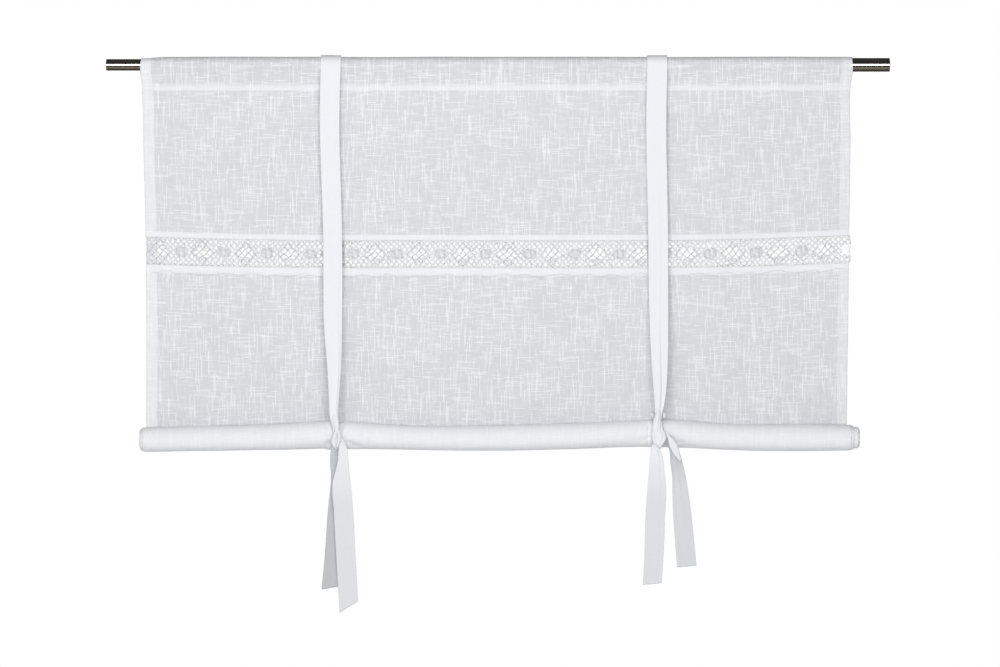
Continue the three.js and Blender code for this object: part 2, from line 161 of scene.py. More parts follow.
def curveThrough(at, places, values):
    # Cubic Hermite curve through a table, its slopes taken from the neighbours on both sides
    at = np.asarray(at, float)
    places, values = np.asarray(places, float), np.asarray(values, float)
    slopes = np.gradient(values, places)
    k = np.clip(np.searchsorted(places, at) - 1, 0, len(places) - 2)
    span = places[k + 1] - places[k]
    t = np.clip((at - places[k]) / span, 0, 1)
    a, b = values[k], values[k + 1]
    p, q = slopes[k] * span, slopes[k + 1] * span
    return a + t * (p + t * (3 * (b - a) - 2 * p - q + t * (2 * (a - b) + p + q)))


def ripples(seed, terms, shortest, longest):
    # A smooth uneven function of two lengths: a sum of slanted sine waves, longer ones higher, about 1 at most
    rng = np.random.default_rng(seed)
    lengths = np.geomspace(longest, shortest, terms)
    turns, starts = rng.uniform(0, tau, terms), rng.uniform(0, tau, terms)
    heights = lengths / lengths.sum()

    def at(x, z):
        total = 0
        for length, turn, start, height in zip(lengths, turns, starts, heights):
            total = total + height * np.sin(tau * (x * math.cos(turn) + z * math.sin(turn)) / length + start)
        return 1.6 * total
    return at


def stacked(*values):
    # Arrays brought to one shape and put side by side along a new last axis
    return np.stack(np.broadcast_arrays(*values), axis=-1)


def joined(ids):
    # A grid of numbers with its first column again after its last
    return np.concatenate([ids, ids[..., :1]], axis=-1)


def squares(ids):
    # The four corners of every cell of a grid of numbers
    return stacked(ids[..., :-1, :-1], ids[..., 1:, :-1], ids[..., 1:, 1:], ids[..., :-1, 1:]).reshape(-1, 4)


def distances(points):
    # How far along a line each of its points lies
    return np.concatenate([[0], np.cumsum(np.linalg.norm(np.diff(points, axis=0), axis=1))])


def gridMesh(name, points, uv, material, around=False, extras=None):
    # A surface from a grid of points (rows, columns, 3), with its UV map in metres. around joins the last column to
    # the first, and the map then has one column more. extras are further numbers for each point.
    mesh = bpy.data.meshes.new(name)
    ids = np.arange(points[..., 0].size).reshape(points.shape[:2])
    fillMesh(mesh, points.reshape(-1, 3), squares(joined(ids) if around else ids))
    corners = squares(np.arange(uv[..., 0].size).reshape(uv.shape[:2])).ravel()
    mesh.uv_layers.new(name="UVMap").data.foreach_set("uv", uv.reshape(-1, 2)[corners].astype(np.float32).ravel())
    for key, values in (extras or {}).items():
        keepValues(mesh, key, np.broadcast_to(values, points.shape[:2]))
    return asPiece(mesh, material)


def fillMesh(mesh, points, faces):
    corners = faces.shape[1]
    mesh.vertices.add(len(points))
    mesh.vertices.foreach_set("co", np.asarray(points, np.float32).ravel())
    mesh.loops.add(faces.size)
    mesh.loops.foreach_set("vertex_index", faces.astype(np.int32).ravel())
    mesh.polygons.add(len(faces))
    mesh.polygons.foreach_set("loop_start", np.arange(0, faces.size, corners, dtype=np.int32))
    mesh.polygons.foreach_set("use_smooth", np.ones(len(faces), bool))
    mesh.update(calc_edges=True)
    mesh.validate()


def keepValues(mesh, key, values):
    made = mesh.attributes.new(key, "FLOAT", "POINT")
    made.data.foreach_set("value", values.astype(np.float32).ravel())


def asPiece(mesh, material):
    mesh.materials.append(material)
    piece = bpy.data.objects.new(mesh.name, mesh)
    bpy.context.scene.collection.objects.link(piece)
    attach(piece, "root")
    return piece


def thicken(piece, thickness):
    solid = piece.modifiers.new("Cloth thickness", "SOLIDIFY")
    solid.thickness = thickness
    solid.offset = 0
    return piece


# The blind's own sizes and form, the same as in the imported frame

rod = {
    "thickRadius": 9.5 * mm,
    "thinRadius": 8 * mm,
    "thickStart": -464 * mm,
    "end": 545.5 * mm,
    "wall": 1 * mm,
    "insertion": 150 * mm,
    "capFlange": 3 * mm,
    "capGap": 0.3 * mm,
    "segments": 96,
    "mapRadius": 9 * mm,
    "lip": 0.25 * mm,
    "stemGap": 0.15 * mm,
    "stemWall": 1.4 * mm,
    "stemLength": 12 * mm,
    "centreHole": 0.01 * mm,
    "tint": (0.62, 0.60, 0.56, 1),
    "smudge": (0.68, 0.66, 0.63, 1),
    "roughness": 0.045,
}

blind = {
    "loopClearance": 1.5 * mm,
    "loopReach": math.radians(22),
    "pocketSeam": -35.5 * mm,
    "pocketFold": 9.5 * mm,
    "leftHem": 15 * mm,
    "rightHem": 13.8 * mm,
    "laceCentre": -263.8 * mm,
    "laceHalf": 18.8 * mm,
    "upperStrip": 8.1 * mm,
    "lowerStrip": 10.6 * mm,
    "liftLeft": 4.8 * mm,
    "liftRight": 6.9 * mm,
    "liftStart": 190 * mm,
    "liftSpan": 290 * mm,
    "clothThickness": 0.35 * mm,
    "edgeHeights": np.array([12, -10, -27, -110, -227, -361, -500]) * mm,
    "edgeLeft": np.array([-496.5, -497.8, -496.2, -493.8, -490.6, -489.8, -491.4]) * mm,
    "edgeRight": np.array([492.5, 493.4, 491.3, 490.9, 489.2, 488, 487.4]) * mm,
    "waves": [(1.5, 62, math.inf, 0.6), (1.1, 31, math.inf, 2.1), (0.9, 104, -90, 0)],  # height, lengths, start
    "waveGrowth": 220 * mm,
    "softHeight": 1.2 * mm,
    "fineHeight": 0.16 * mm,
}

roll = {
    "knots": np.array([-222.9, 222]) * mm,
    "places": np.array([-495, -487, -415, -359, -304, -262, -223, -178, -109, -40,
                        72, 142, 187, 222, 267, 309, 365, 421, 489]) * mm,
    "middles": np.array([-521.8, -521.6, -519.8, -519.1, -517.9, -515.8, -514.9, -516.8, -519.3, -519.6,
                         -517.7, -515.4, -513.5, -513.2, -514.5, -517.2, -519.1, -518.6, -519]) * mm,
    "radii": np.array([17.2, 17.4, 18.1, 18.7, 19.2, 19.6, 20, 18.3, 17.3, 18,
                       18.7, 19.1, 19.3, 19.8, 19.2, 18.5, 18.8, 19.5, 18.9]) * mm,
    "meanRadius": 18.5 * mm,
    "coreRadius": 2.6 * mm,
    "layerPitch": 1.5 * mm,
    "rowsOfTurns": [44, 30] + [14] * 8,
    "unevenTurns": 3,
    "oval": 0.018,
    "ovalTwist": 70 * mm,
    "lumpHeight": 0.5 * mm,
    "pinchDepth": 3.6 * mm,
    "pinchHalfWidth": 3.2 * mm,
    "pinchFade": 7 * mm,
    "creaseHeight": 1.3 * mm,
    "creaseReach": 22 * mm,
    "creaseStarts": (0.7, 2.4),
    "hollowTurns": 7,
    # Photo column and row, half width in pixels, half turn in radians and depth in mm
    "hollows": [(648.4, 438, 2.4, 0.55, 4.6), (649, 427, 1.8, 0.35, 2.8), (664, 443.5, 3.2, 0.35, 3.2),
                (672, 438.5, 3.6, 0.2, 3.4), (679, 442.5, 3.8, 0.2, 3.8), (686, 446, 4.0, 0.2, 3.0),
                (345, 439, 2.8, 0.2, 3.0), (350, 442.5, 3.0, 0.2, 3.8), (356, 446, 3.4, 0.2, 3.2),
                (328.6, 443.5, 2.6, 0.45, 4.6), (328, 450, 2.6, 0.4, -1.6)],
    # Turns and the x in mm that the layer's end has reached there
    "leftSteps": ((0, 0.3, 1, 2, 3, 10), (-491.4, -493.5, -496.4, -498, -498.6, -497.5)),
    "rightSteps": ((0, 0.3, 0.95, 1.05, 1.9, 2.1, 3, 4, 10),
                   (487.6, 490.8, 491.4, 494, 495, 500.4, 501.5, 503.2, 502)),
}


def edgeRamp(distance):
    # Square of the way past the start of the seams' lift, towards a side edge
    return np.clip((distance - blind["liftStart"]) / blind["liftSpan"], 0, 1) ** 2


def laceMiddle(x):
    return blind["laceCentre"] + blind["liftLeft"] * edgeRamp(-x) + blind["liftRight"] * edgeRamp(x)


def laceTop(x):
    return laceMiddle(x) + blind["laceHalf"]


def laceBottom(x):
    return laceMiddle(x) - blind["laceHalf"]


def rollMiddle(x):
    return curveThrough(x, roll["places"], roll["middles"])


def pinch(x):
    # 1 under a knot, falling smoothly to 0 beside it
    near = np.min([np.abs(x - knot) for knot in roll["knots"]], axis=0)
    return 1 - smoothStep((near - roll["pinchHalfWidth"]) / roll["pinchFade"])


def rollRadius(x):
    return curveThrough(x, roll["places"], roll["radii"]) - roll["pinchDepth"] * pinch(x)


def knotCreases(x, angle):
    # Creases that run out from each knot over the roll: a wave round the knot that dies away with distance
    total = 0
    for knot, start in zip(roll["knots"], roll["creaseStarts"]):
        along, up = x - knot, roll["meanRadius"] * (np.mod(angle + tau, tau) - math.pi * 1.08)
        away, turn = np.hypot(along, up), np.arctan2(up, along)
        folds = np.sin(7 * turn + start) + 0.6 * np.sin(11 * turn - start)
        total = total + folds * np.exp(-away / roll["creaseReach"]) * smoothStep((away - 4 * mm) / (9 * mm))
    return roll["creaseHeight"] * total


def hollows(x, angle):
    # Places beside the knots where the roll is pulled in, each a bell-shaped dent through all the turns
    dents = 0
    for column, row, wide, turned, depth in roll["hollows"]:
        place, height = (value * photo["pixel"] * mm for value in (column - photo["column"], photo["row"] - row))
        facing = np.arcsin(np.clip((rollMiddle(place) - height) / roll["meanRadius"], -1, 1)) - math.pi
        turn = np.mod(angle - facing + math.pi, tau) - math.pi
        apart = ((x - place) / (wide * photo["pixel"] * mm)) ** 2 + (turn / turned) ** 2
        dents = dents + depth * mm * np.exp(-apart)
    return dents


softFolds = ripples(4, 7, 0.05, 0.34)
fineFolds = ripples(9, 8, 0.012, 0.05)


def wave(x, z):
    # How far the hanging cloth stands off the plane under the rod: broad soft waves that grow downwards
    depth = smoothStep((blind["pocketSeam"] - z) / blind["waveGrowth"])
    broad = sum(height * mm * np.sin(x / (wide * mm) + z / (high * mm) + start)
                for height, wide, high, start in blind["waves"])
    return depth * (broad + blind["softHeight"] * softFolds(x, 0.35 * z)) + blind["fineHeight"] * fineFolds(x, z)


# Materials

cloth = {
    "ground": (0.640, 0.652, 0.676, 1),
    "slub": (0.802, 0.814, 0.834, 1),
    "doubled": (0.742, 0.755, 0.783, 1),
    "doubledSlub": (0.800, 0.813, 0.835, 1),
    "threadPitch": 1.05 * mm,
    "sheerness": 0.10,
    # Share, way, pitch across, length, seed, and the noise at which a slub begins and is full
    "slubs": [(0.85, "down", 1.45 * mm, 46 * mm, 0.0, 0.60, 0.62),
              (0.74, "over", 1.45 * mm, 37.72 * mm, 7.3, 0.61, 0.63),
              (0.20, "down", 5.2 * mm, 56 * mm, 3.1, 0.50, 0.56),
              (0.18, "over", 4.68 * mm, 46 * mm, 5.7, 0.52, 0.58),
              (0.18, "down", 0.62 * mm, 22 * mm, 1.9, 0.48, 0.60),
              (0.16, "over", 0.62 * mm, 18 * mm, 4.4, 0.50, 0.62)],
    "patches": 0.14,
}


def slubs(tree, across, along, pitch, length, seed, low, high):
    # Thick places in a thread: each thread has its own noise along it, and shows where that is high
    thread = (across / pitch + seed).floor()
    own = tree.cellValue(thread)
    run = tree.lineNoise(along / length + own * 91.0)
    body = (across / pitch + seed).fraction() * 2.0 - 1.0
    return run.ramp(low, high) * (1.0 - body * body) * (own * 0.65 + 0.35)


def allSlubs(tree, u, v, kinds):
    # Every kind of slub in a table times its share, added up
    ways = {"down": (u, v), "over": (v, u)}
    return sum(slubs(tree, *ways[way], *values) * share for share, way, *values in kinds)


def weaveHeight(u, v, pitch):
    # Plain weave: over and under in turn, a product of two sine waves
    return (u * (math.pi / pitch)).sine() * (v * (math.pi / pitch)).sine()


def makeVoile():
    tree = Tree("voile linen slub")
    uv, u, v = tree.flatPlace()
    doubled = tree.kept("doubled")
    patches = tree.node("ShaderNodeTexNoise", {"noise_dimensions": "2D"}, {"Vector": uv, "Scale": 9.0, "Detail": 2.0})
    thread = (allSlubs(tree, u, v, cloth["slubs"]) + (patches - 0.5) * cloth["patches"]).clamped()
    single = tree.mix(thread, cloth["ground"], cloth["slub"])
    double = tree.mix(thread, cloth["doubled"], cloth["doubledSlub"])
    height = weaveHeight(u, v, cloth["threadPitch"]) * 0.4 + thread
    sheer = (1.0 - doubled) * (1.0 - thread * 0.7)
    return tree.finish(Base_Color=tree.mix(doubled, single, double), Roughness=0.86,
                       Alpha=1.0 - sheer * cloth["sheerness"], Specular_IOR_Level=0.25, Sheen_Weight=0.12,
                       Sheen_Roughness=0.6, Normal=tree.bump(height, 0.35, 0.12 * mm))


tieCloth = {
    "base": (0.752, 0.765, 0.794, 1),
    "light": (0.787, 0.800, 0.822, 1),
    # A dark grey that is painted shade: it stands in for the shade that falls on the tails and inside the knots
    "paintedShade": (0.480, 0.492, 0.510, 1),
    "threadPitch": 0.5 * mm,
    "slubs": [(0.6, "down", 0.8 * mm, 14 * mm, 2.2, 0.5, 0.68), (0.5, "over", 0.8 * mm, 10 * mm, 8.8, 0.52, 0.7)],
}


def makeTieCloth():
    tree = Tree("tie band plain weave")
    _, u, v = tree.flatPlace()
    thick = allSlubs(tree, u, v, tieCloth["slubs"])
    unshaded = tree.mix(thick.clamped(), tieCloth["base"], tieCloth["light"])
    # Painted shade: where the kept share is below 1, the colour darkens towards that dark grey
    colour = tree.mix(tree.kept("unshadedShare"), tieCloth["paintedShade"], unshaded)
    height = weaveHeight(u, v, tieCloth["threadPitch"]) * 0.5 + thick * 0.6
    return tree.finish(Base_Color=colour, Roughness=0.84, Specular_IOR_Level=0.25, Sheen_Weight=0.1,
                       Sheen_Roughness=0.6, Normal=tree.bump(height, 0.3, 0.1 * mm))


lace = {
    "left": -489.2 * mm,
    "right": 491.3 * mm,
    "firstRepeat": -411.3 * mm,
    "repeat": 59.34 * mm,
    "growth": 0.181 * mm,
    "columns": 16,
    "rows": 9,
    "threadRadius": 0.69 * mm,
    "foldRadius": 0.5 * mm,
    "foldBack": 14.5 * mm,
    "edgeRadius": 0.5 * mm,
    "pairHalf": 0.72 * mm,
    "looseness": 1.25 * mm,
    "windowPitch": np.array([10.3, 10.6]) * mm,
    "windowTip": 8.2 * mm,
    "windowReach": 0.8,
    "windowLines": (-1.5, -0.5, 0.5, 1.5),
    "frame": {"radius": 0.62 * mm, "gap": 0.5 * mm, "reach": 1.08, "twists": 1},
    "inner": {"radius": 0.62 * mm, "gap": 0.42 * mm, "reach": 1.0, "twists": 2},
    "paintedShadeDots": 0.62,
    "across": 0.69,  # the way that the ground's pairs swing, square to their diagonal
    "upward": 0.72,
    "ovalPlace": 0.505,
    "oval": np.array([8.6, 8.2]) * mm,
    "stitchPitch": 7.4 * mm,
    "specks": 1700,
    "shaded": (0.770, 0.776, 0.803, 1),
    "bright": (0.890, 0.895, 0.912, 1),
    "dark": (0.240, 0.240, 0.252, 1),
}


def makeThread():
    tree = Tree("sewing thread")
    place = tree.node("ShaderNodeTexCoord", None, None, 3)
    noise = tree.node("ShaderNodeTexNoise", None, {"Vector": place, "Scale": 2200.0, "Detail": 1.0})
    colour = tree.mix(noise.ramp(0.35, 0.65), lace["shaded"], lace["bright"])
    # The kept number darkens the thread: a little for its own tone, much more for the painted shade of specks, dots,
    # edge stitches and the ovals' rims
    colour = tree.mix(tree.kept("toneAndPaintedShade"), colour, lace["dark"])
    return tree.finish(Base_Color=colour, Roughness=0.7, Normal=tree.bump(noise, 0.3, 0.05 * mm))


def makeSteel():
    tree = Tree("drawn steel tube")
    place = tree.node("ShaderNodeTexCoord", None, None, 3)
    stretched = tree.node("ShaderNodeMapping", None, {"Vector": place, "Scale": (6.0, 900.0, 900.0)})
    draw = tree.node("ShaderNodeTexNoise", None, {"Vector": stretched, "Scale": 1.0, "Detail": 3.0})
    smudge = tree.node("ShaderNodeTexNoise", None, {"Vector": place, "Scale": 34.0, "Detail": 3.0})
    colour = tree.mix(smudge.ramp(0.35, 0.7), rod["tint"], rod["smudge"])
    rough = draw * 0.03 + smudge.ramp(0.45, 0.8) * 0.03 + rod["roughness"]
    return tree.finish(Base_Color=colour, Metallic=1.0, Roughness=rough, Normal=tree.bump(draw, 0.012, 0.02 * mm))


voile, tieFabric, thread, steel = makeVoile(), makeTieCloth(), makeThread(), makeSteel()
print("materials made")


# Cloth panels

panel = {
    "hemGap": 0.75 * mm,
    "knotFan": np.array([-38, -32, -27, -23, -19.5, -16.5, -14, -12, -10, -8, -6, -4, -2, 0]) * mm,
    "fanReach": 40 * mm,
    # The right hem shows less of the doubled colour than the left: painted shade, for the light falling off to the
    # right
    "leftDoubled": 0.82,
    "rightDoubled": 0.6,
    "front": -0.7 * mm,  # the layers at the pocket's seam, from the plane under the rod's axis
    "back": 1.0 * mm,
    "inner": 0.2 * mm,
    "turnedDown": -80 * mm,  # how far down the flat cloth: the turned-in edge, the pocket's seam, the top of the rod
    "seamDown": -70 * mm,
    "topDown": -16 * mm,
    "radianDown": 11 * mm,
    "laceDown": 0.245,
    "lowerDown": 0.30,
    # Share of the strip's height from the lace, depth of the layer in mm, and how far it shows as doubled
    "strip": [(0.98, 0, 0.9), (0.66, 0, 1.0), (0.33, 0, 1.0), (0.06, 0, 1.0), (0.0, 0.4, 1.0), (0.06, 0.8, 1.0),
              (0.5, 0.8, 1.0), (0.97, 0.8, 1.0)],
    "stripGap": 0.2 * mm,
}


def crossing():
    # Columns across a panel, from the left hem's inner edge behind the cloth, round the fold at the left edge,
    # over the front, round the right fold and back. Each has its edge (-1 left, 0 none, 1 right), its distance
    # from that edge or its x, how deep it lies behind the front layer, and its place on the flat cloth.
    left, right = blind["leftHem"], blind["rightHem"]
    behindLeft = np.array([left, left - 0.3 * mm, left * 0.7, left * 0.4, 2 * mm, 0.6 * mm])
    inLeft = np.array([0.25 * mm, 1.5 * mm, left * 0.35, left * 0.7, left - 0.9 * mm, left - 0.2 * mm,
                       left + 0.4 * mm])
    behindRight, inRight = (part[::-1] * right / left for part in (behindLeft, inLeft))
    fan = np.concatenate([panel["knotFan"], -panel["knotFan"][-2::-1]])
    plain = np.linspace(-470, 470, 96) * mm
    for knot in roll["knots"]:
        plain = plain[np.abs(plain - knot) > panel["fanReach"]]
    middle = np.sort(np.concatenate([plain, *[knot + fan for knot in roll["knots"]]]))
    none = np.zeros(len(middle))
    hemDepth = np.array([1.0] * 6 + [0.45, 0.2] + [0.0] * 6) * panel["hemGap"]
    count = len(hemDepth)
    return {"edge": np.concatenate([np.full(count, -1), none, np.full(count, 1)]),
            "inset": np.concatenate([behindLeft, [0.0], inLeft, middle, inRight, [0.0], behindRight]),
            "depth": np.concatenate([hemDepth, none, hemDepth[::-1]]),
            "doubled": np.concatenate([np.full(count - 1, panel["leftDoubled"]), [0.0], none,
                                       [0.0], np.full(count - 1, panel["rightDoubled"])])}


def columnsAt(level, cross):
    # x of every column at a height: from the side edges' table near a hem, and fixed between the hems
    left, right = (curveThrough(level, blind["edgeHeights"][::-1], blind[key][::-1])
                   for key in ("edgeLeft", "edgeRight"))
    edge, inset = cross["edge"], cross["inset"]
    return np.where(edge < 0, left + inset, np.where(edge > 0, right - inset, inset))


def flatAcross(cross):
    # Each column's place on the flat cloth: its x, with the hems' turned parts unfolded outwards
    x = columnsAt(-0.2, cross)
    turned = (cross["depth"] > 0.5 * mm) * cross["edge"]
    return np.where(turned < 0, 2 * x.min() - x, np.where(turned > 0, 2 * x.max() - x, x))


def layCloth(stations, cross):
    # Rows of a panel. Each station gives, for the columns' x, the layer's y and z, the way out of the cloth,
    # how deep its own fold lies, whether it is doubled, and how far down the flat cloth it is.
    rows = []
    for station in stations:
        x = columnsAt(station["level"], cross)
        y, z = station["at"](x)
        deep = cross["depth"] + station.get("deep", 0)
        rows.append(stacked(x, y - station["out"][0] * deep, z - station["out"][1] * deep))
    down, doubled = (np.array([station.get(key, 0.0) for station in stations])[:, None]
                     for key in ("down", "doubled"))
    return np.array(rows), stacked(flatAcross(cross), down), np.maximum(doubled, cross["doubled"])


def makePanel(name, stations, covers):
    points, uv, doubled = layCloth(stations, cross)
    wideRoll(points, stations)
    piece = gridMesh(name, points, uv, voile, extras={"doubled": doubled})
    thicken(piece, blind["clothThickness"])
    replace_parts(piece, covers)
    return piece, points


def loopRadius(x):
    # The heading's radius: round the thick tube, and closer in over the thin one at the left end
    overThin = smoothStep((rod["thickStart"] - 3 * mm - x) / (22 * mm))
    return rod["thickRadius"] + blind["loopClearance"] - overThin * (rod["thickRadius"] - rod["thinRadius"])


def upperStations():
    # Up behind the pocket's seam, round the turned-in edge, over the rod, down the front and on to the lace
    stations = []
    seam, foldTop = blind["pocketSeam"], blind["pocketSeam"] + blind["pocketFold"]
    front, back, inner = panel["front"], panel["back"], panel["inner"]
    reach = blind["loopReach"]
    radius = rod["thickRadius"] + blind["loopClearance"]
    tangentY, tangentZ = radius * math.cos(reach), -radius * math.sin(reach)
    puckers = ripples(21, 6, 0.011, 0.045)

    def add(level, at, out, down, doubled=0.0):
        stations.append({"level": level, "at": at, "out": out, "down": down, "doubled": doubled})

    def flat(y, z, pucker=0.0):
        return lambda x: (y + pucker * puckers(x, z), z + 0 * x)

    def bowed(bow, z, share, pucker):
        # Beside the rod, where the thin tube lets the cloth lie closer in
        return lambda x: (bow + share * (loopRadius(x) - loopRadius(0)) * math.cos(reach) + pucker * puckers(x, z),
                          z + 0 * x)

    def over(c, s):
        return lambda x: (loopRadius(x) * c + 0.18 * mm * puckers(x, s * 0.01) * c,
                          loopRadius(x) * s + 0.3 * mm * softFolds(x, 0.0) * s)

    for z in np.linspace(foldTop, seam + 0.6 * mm, 5):
        add(z, flat(inner, z), (1, 0), panel["turnedDown"] - (z - foldTop), 1.0)
    add(seam, flat((inner + back) / 2, seam - 0.7 * mm), (1, 0), panel["seamDown"], 1.0)
    for z in np.linspace(seam + 0.4 * mm, foldTop - 0.2 * mm, 5):
        add(z, flat(back, z), (1, 0), panel["seamDown"] + (z - seam), 1.0)
    for t in np.linspace(0.05, 0.95, 8):
        z = foldTop + t * (tangentZ - foldTop)
        bow = back + (tangentY - back) * t ** 1.25
        add(z, bowed(bow, z, 1, 0.25 * mm), (1, 0), panel["seamDown"] + (z - seam))
    for turn in np.linspace(-reach, math.pi + reach, 30):
        c, s = math.cos(turn), math.sin(turn)
        add(s * rod["thickRadius"], over(c, s), (c, s), panel["topDown"] - panel["radianDown"] * (math.pi / 2 - turn))
    for t in np.concatenate([np.linspace(0.97, 0.1, 15), [0.04, 0.0]]):
        z = seam + t * (tangentZ - seam)
        bow = front + (-tangentY - front) * (0.25 * t + 0.75 * t ** 2.2)
        turnedHem = 0.8 * smoothStep((foldTop + 2 * mm - z) / (8 * mm))
        add(z, bowed(bow, z, -t, 0.3 * mm), (-1, 0), -z, turnedHem)
    start = seam - 0.5 * mm
    add(start, flat(front, start, 0.22 * mm), (-1, 0), -start)
    stripTop = blind["laceCentre"] + blind["laceHalf"] + blind["upperStrip"]
    for t in np.linspace(0.015, 1, 64):
        z = start + t * (stripTop + 0.3 * mm - start)

        def hang(x, t=t, z=z):
            lift = smoothStep(t) * (laceMiddle(x) - blind["laceCentre"])
            y = front * (1 - smoothStep(t * 6)) + wave(x, z)
            return y + 0.2 * mm * puckers(x, z) * (1 - t), z + lift
        add(z, hang, (-1, 0), -z)
    return stations + seamStrip(laceTop, blind["upperStrip"], 1, panel["laceDown"])


def seamStrip(edgeOf, height, side, down):
    # The doubled strip beside the lace: down the front to the cut edge at the lace, round, and back up behind.
    # side is 1 for the strip above the lace and -1 for the one below it.
    stations = []
    for share, layer, doubled in panel["strip"][:: side]:
        def at(x, share=share):
            z = edgeOf(x) + side * (panel["stripGap"] + share * height)
            return wave(x, z), z
        unfolded = (1 - share) * height * (1 if layer == 0 else -1)
        stations.append({"level": float(edgeOf(0)), "at": at, "out": (-1, 0), "down": down + side * unfolded,
                         "deep": layer * mm, "doubled": doubled})
    return stations


def backY(x, z):
    # The lower cloth leaves the plane under the lace and settles against the back of the roll
    settle = smoothStep((laceBottom(x) - z) / (laceBottom(x) - rollMiddle(x) - 12 * mm))
    return wave(x, z) * (1 - settle) + settle * (rollRadius(x) + 0.15 * mm)


def lowerStations():
    # From the lace down behind the roll, then wound forwards under it and round, a layer closer in each turn
    stations = seamStrip(laceBottom, blind["lowerStrip"], -1, panel["lowerDown"])
    top = laceBottom(0) - blind["lowerStrip"]
    middle = float(rollMiddle(0.0))
    for t in np.linspace(0.004, 1, 62):
        def hang(x, t=t):
            start = laceBottom(x) - blind["lowerStrip"] - 0.2 * mm
            z = start + t * (rollMiddle(x) - start)
            return backY(x, z), z
        z = top + t * (middle - top)
        stations.append({"level": z, "at": hang, "out": (-1, 0), "down": panel["lowerDown"] + (top - z)})
    reached = stations[-1]["down"]
    turns = np.concatenate([k + np.arange(1, n + 1) / n for k, n in enumerate(roll["rowsOfTurns"])])
    lumps = ripples(33, 7, 0.05, 0.25)
    last = 0.0
    for turn in turns:
        angle = -tau * turn
        c, s = math.cos(angle), math.sin(angle)
        inward = roll["layerPitch"] * turn
        uneven, dented = max(0.15, 1 - turn / roll["unevenTurns"]), max(0.0, 1 - turn / roll["hollowTurns"])

        def wind(x, c=c, s=s, inward=inward, angle=angle, uneven=uneven, dented=dented):
            oval = 1 + uneven * roll["oval"] * np.sin(2 * angle + x / roll["ovalTwist"])
            lumpy = uneven * (roll["lumpHeight"] * lumps(x, 0.03 * angle) + knotCreases(x, angle))
            radius = (rollRadius(x) - inward) * oval + lumpy - dented * hollows(x, angle)
            radius = np.maximum(radius, roll["coreRadius"])
            return radius * c, rollMiddle(x) + radius * s
        reached += (turn - last) * tau * (roll["meanRadius"] - inward)
        last = turn
        stations.append({"level": -0.5, "at": wind, "out": (c, s), "down": reached, "turn": turn, "doubled": 1.0})
    return stations


def wideRoll(points, stations):
    # The wound turns reach further out at both ends than the hanging cloth: each layer steps out past the last
    turns = np.array([station.get("turn", 0.0) for station in stations])
    left, right = (np.interp(turns, *roll[key])[:, None] * mm for key in ("leftSteps", "rightSteps"))
    x = points[..., 0]
    low, high = x.min(axis=1, keepdims=True), x.max(axis=1, keepdims=True)
    share = (x - low) / (high - low)
    pull = smoothStep((np.abs(share - 0.5) * 2 - 0.93) / 0.07)
    target = np.where(share < 0.5, left + (x - low), right + (x - high))
    points[..., 0] = np.where((turns > 0)[:, None], x + pull * (target - x), x)


cross = crossing()
upper, upperPoints = makePanel("voile_upper_panel", upperStations(), "upper_panel")
print("upper panel made")
lower, lowerPoints = makePanel("voile_lower_panel", lowerStations(), "lower_panel")
print("lower panel made")


# Lace insert: a thread is its path, its radius and how dark it is, from 0 to 1

def repeatPlace(number):
    # x of the lace's repeats, which grow a little to the right
    return lace["firstRepeat"] + lace["repeat"] * number + lace["growth"] * number ** 2


def repeatAt(x):
    # The repeat's number at x, the inverse of repeatPlace
    b, a = lace["repeat"], lace["growth"]
    return (-b + np.sqrt(b * b - 4 * a * (lace["firstRepeat"] - x))) / (2 * a)


def repeatsBetween(inset, start):
    # The repeats, start past each whole number, that lie inside the lace's ends by inset
    low, high = repeatAt(lace["left"] + inset) - start, repeatAt(lace["right"] - inset) - start
    return np.arange(math.ceil(low), math.floor(high) + 1) + start


def strands(name, threads, sides):
    # Threads as tubes round their paths, each tapered to a point at both ends
    points, faces, toneAndPaintedShade, used = [], [], [], 0
    turn = np.linspace(0, tau, sides + 1)[None, :]
    for path, radius, shade in threads:
        count = len(path)
        along = np.gradient(path, axis=0)
        along = along / np.linalg.norm(along, axis=1, keepdims=True)
        first = np.cross(along, [0.0, 1.0, 0.0])
        first = first / np.maximum(np.linalg.norm(first, axis=1, keepdims=True), 1e-6)
        second = np.cross(first, along)
        taper = np.minimum(np.minimum(np.arange(count), np.arange(count)[::-1]), 1.0)
        size = (radius * np.maximum(taper, 0.04))[:, None, None]
        circle = np.cos(turn)[..., None] * first[:, None] + np.sin(turn)[..., None] * second[:, None]
        points.append((path[:, None] + size * circle)[:, :-1].reshape(-1, 3))
        ids = used + np.arange(count * sides).reshape(count, sides)
        faces.append(squares(joined(ids))[:, [0, 3, 2, 1]])
        used += count * sides
        toneAndPaintedShade.append(np.full(count * sides, shade))
    mesh = bpy.data.meshes.new(name)
    fillMesh(mesh, np.concatenate(points), np.concatenate(faces))
    keepValues(mesh, "toneAndPaintedShade", np.concatenate(toneAndPaintedShade))
    return asPiece(mesh, thread)


laceUneven = [ripples(61, 9, 0.004, 0.03), ripples(62, 9, 0.004, 0.03)]


def onLace(x, up, out=0.0):
    # A point of the lace from x, its height from the lace's middle and how far it stands in front. The net is a
    # little uneven everywhere, less so at its edges.
    loose = lace["looseness"] * (1 - 0.7 * (up / blind["laceHalf"]) ** 4)
    x, up = x + loose * laceUneven[0](x, up), up + loose * laceUneven[1](x, up)
    z = laceMiddle(x) + up
    return stacked(x, wave(x, z) - out + 0.35 * mm, z)


def inWindow(x, up, reach):
    # Within reach of a window's middle, along its diagonals
    wide, high = 1.5 * lace["windowPitch"]
    away = np.abs(x - repeatPlace(np.round(repeatAt(x)))) / wide + np.abs(up) / high
    return (away < reach) & (np.abs(up) < lace["windowTip"])


def inOval(x, up, reach):
    number = np.round(repeatAt(x) - lace["ovalPlace"]) + lace["ovalPlace"]
    return ((x - repeatPlace(number)) / lace["oval"][0]) ** 2 + (up / lace["oval"][1]) ** 2 < reach ** 2


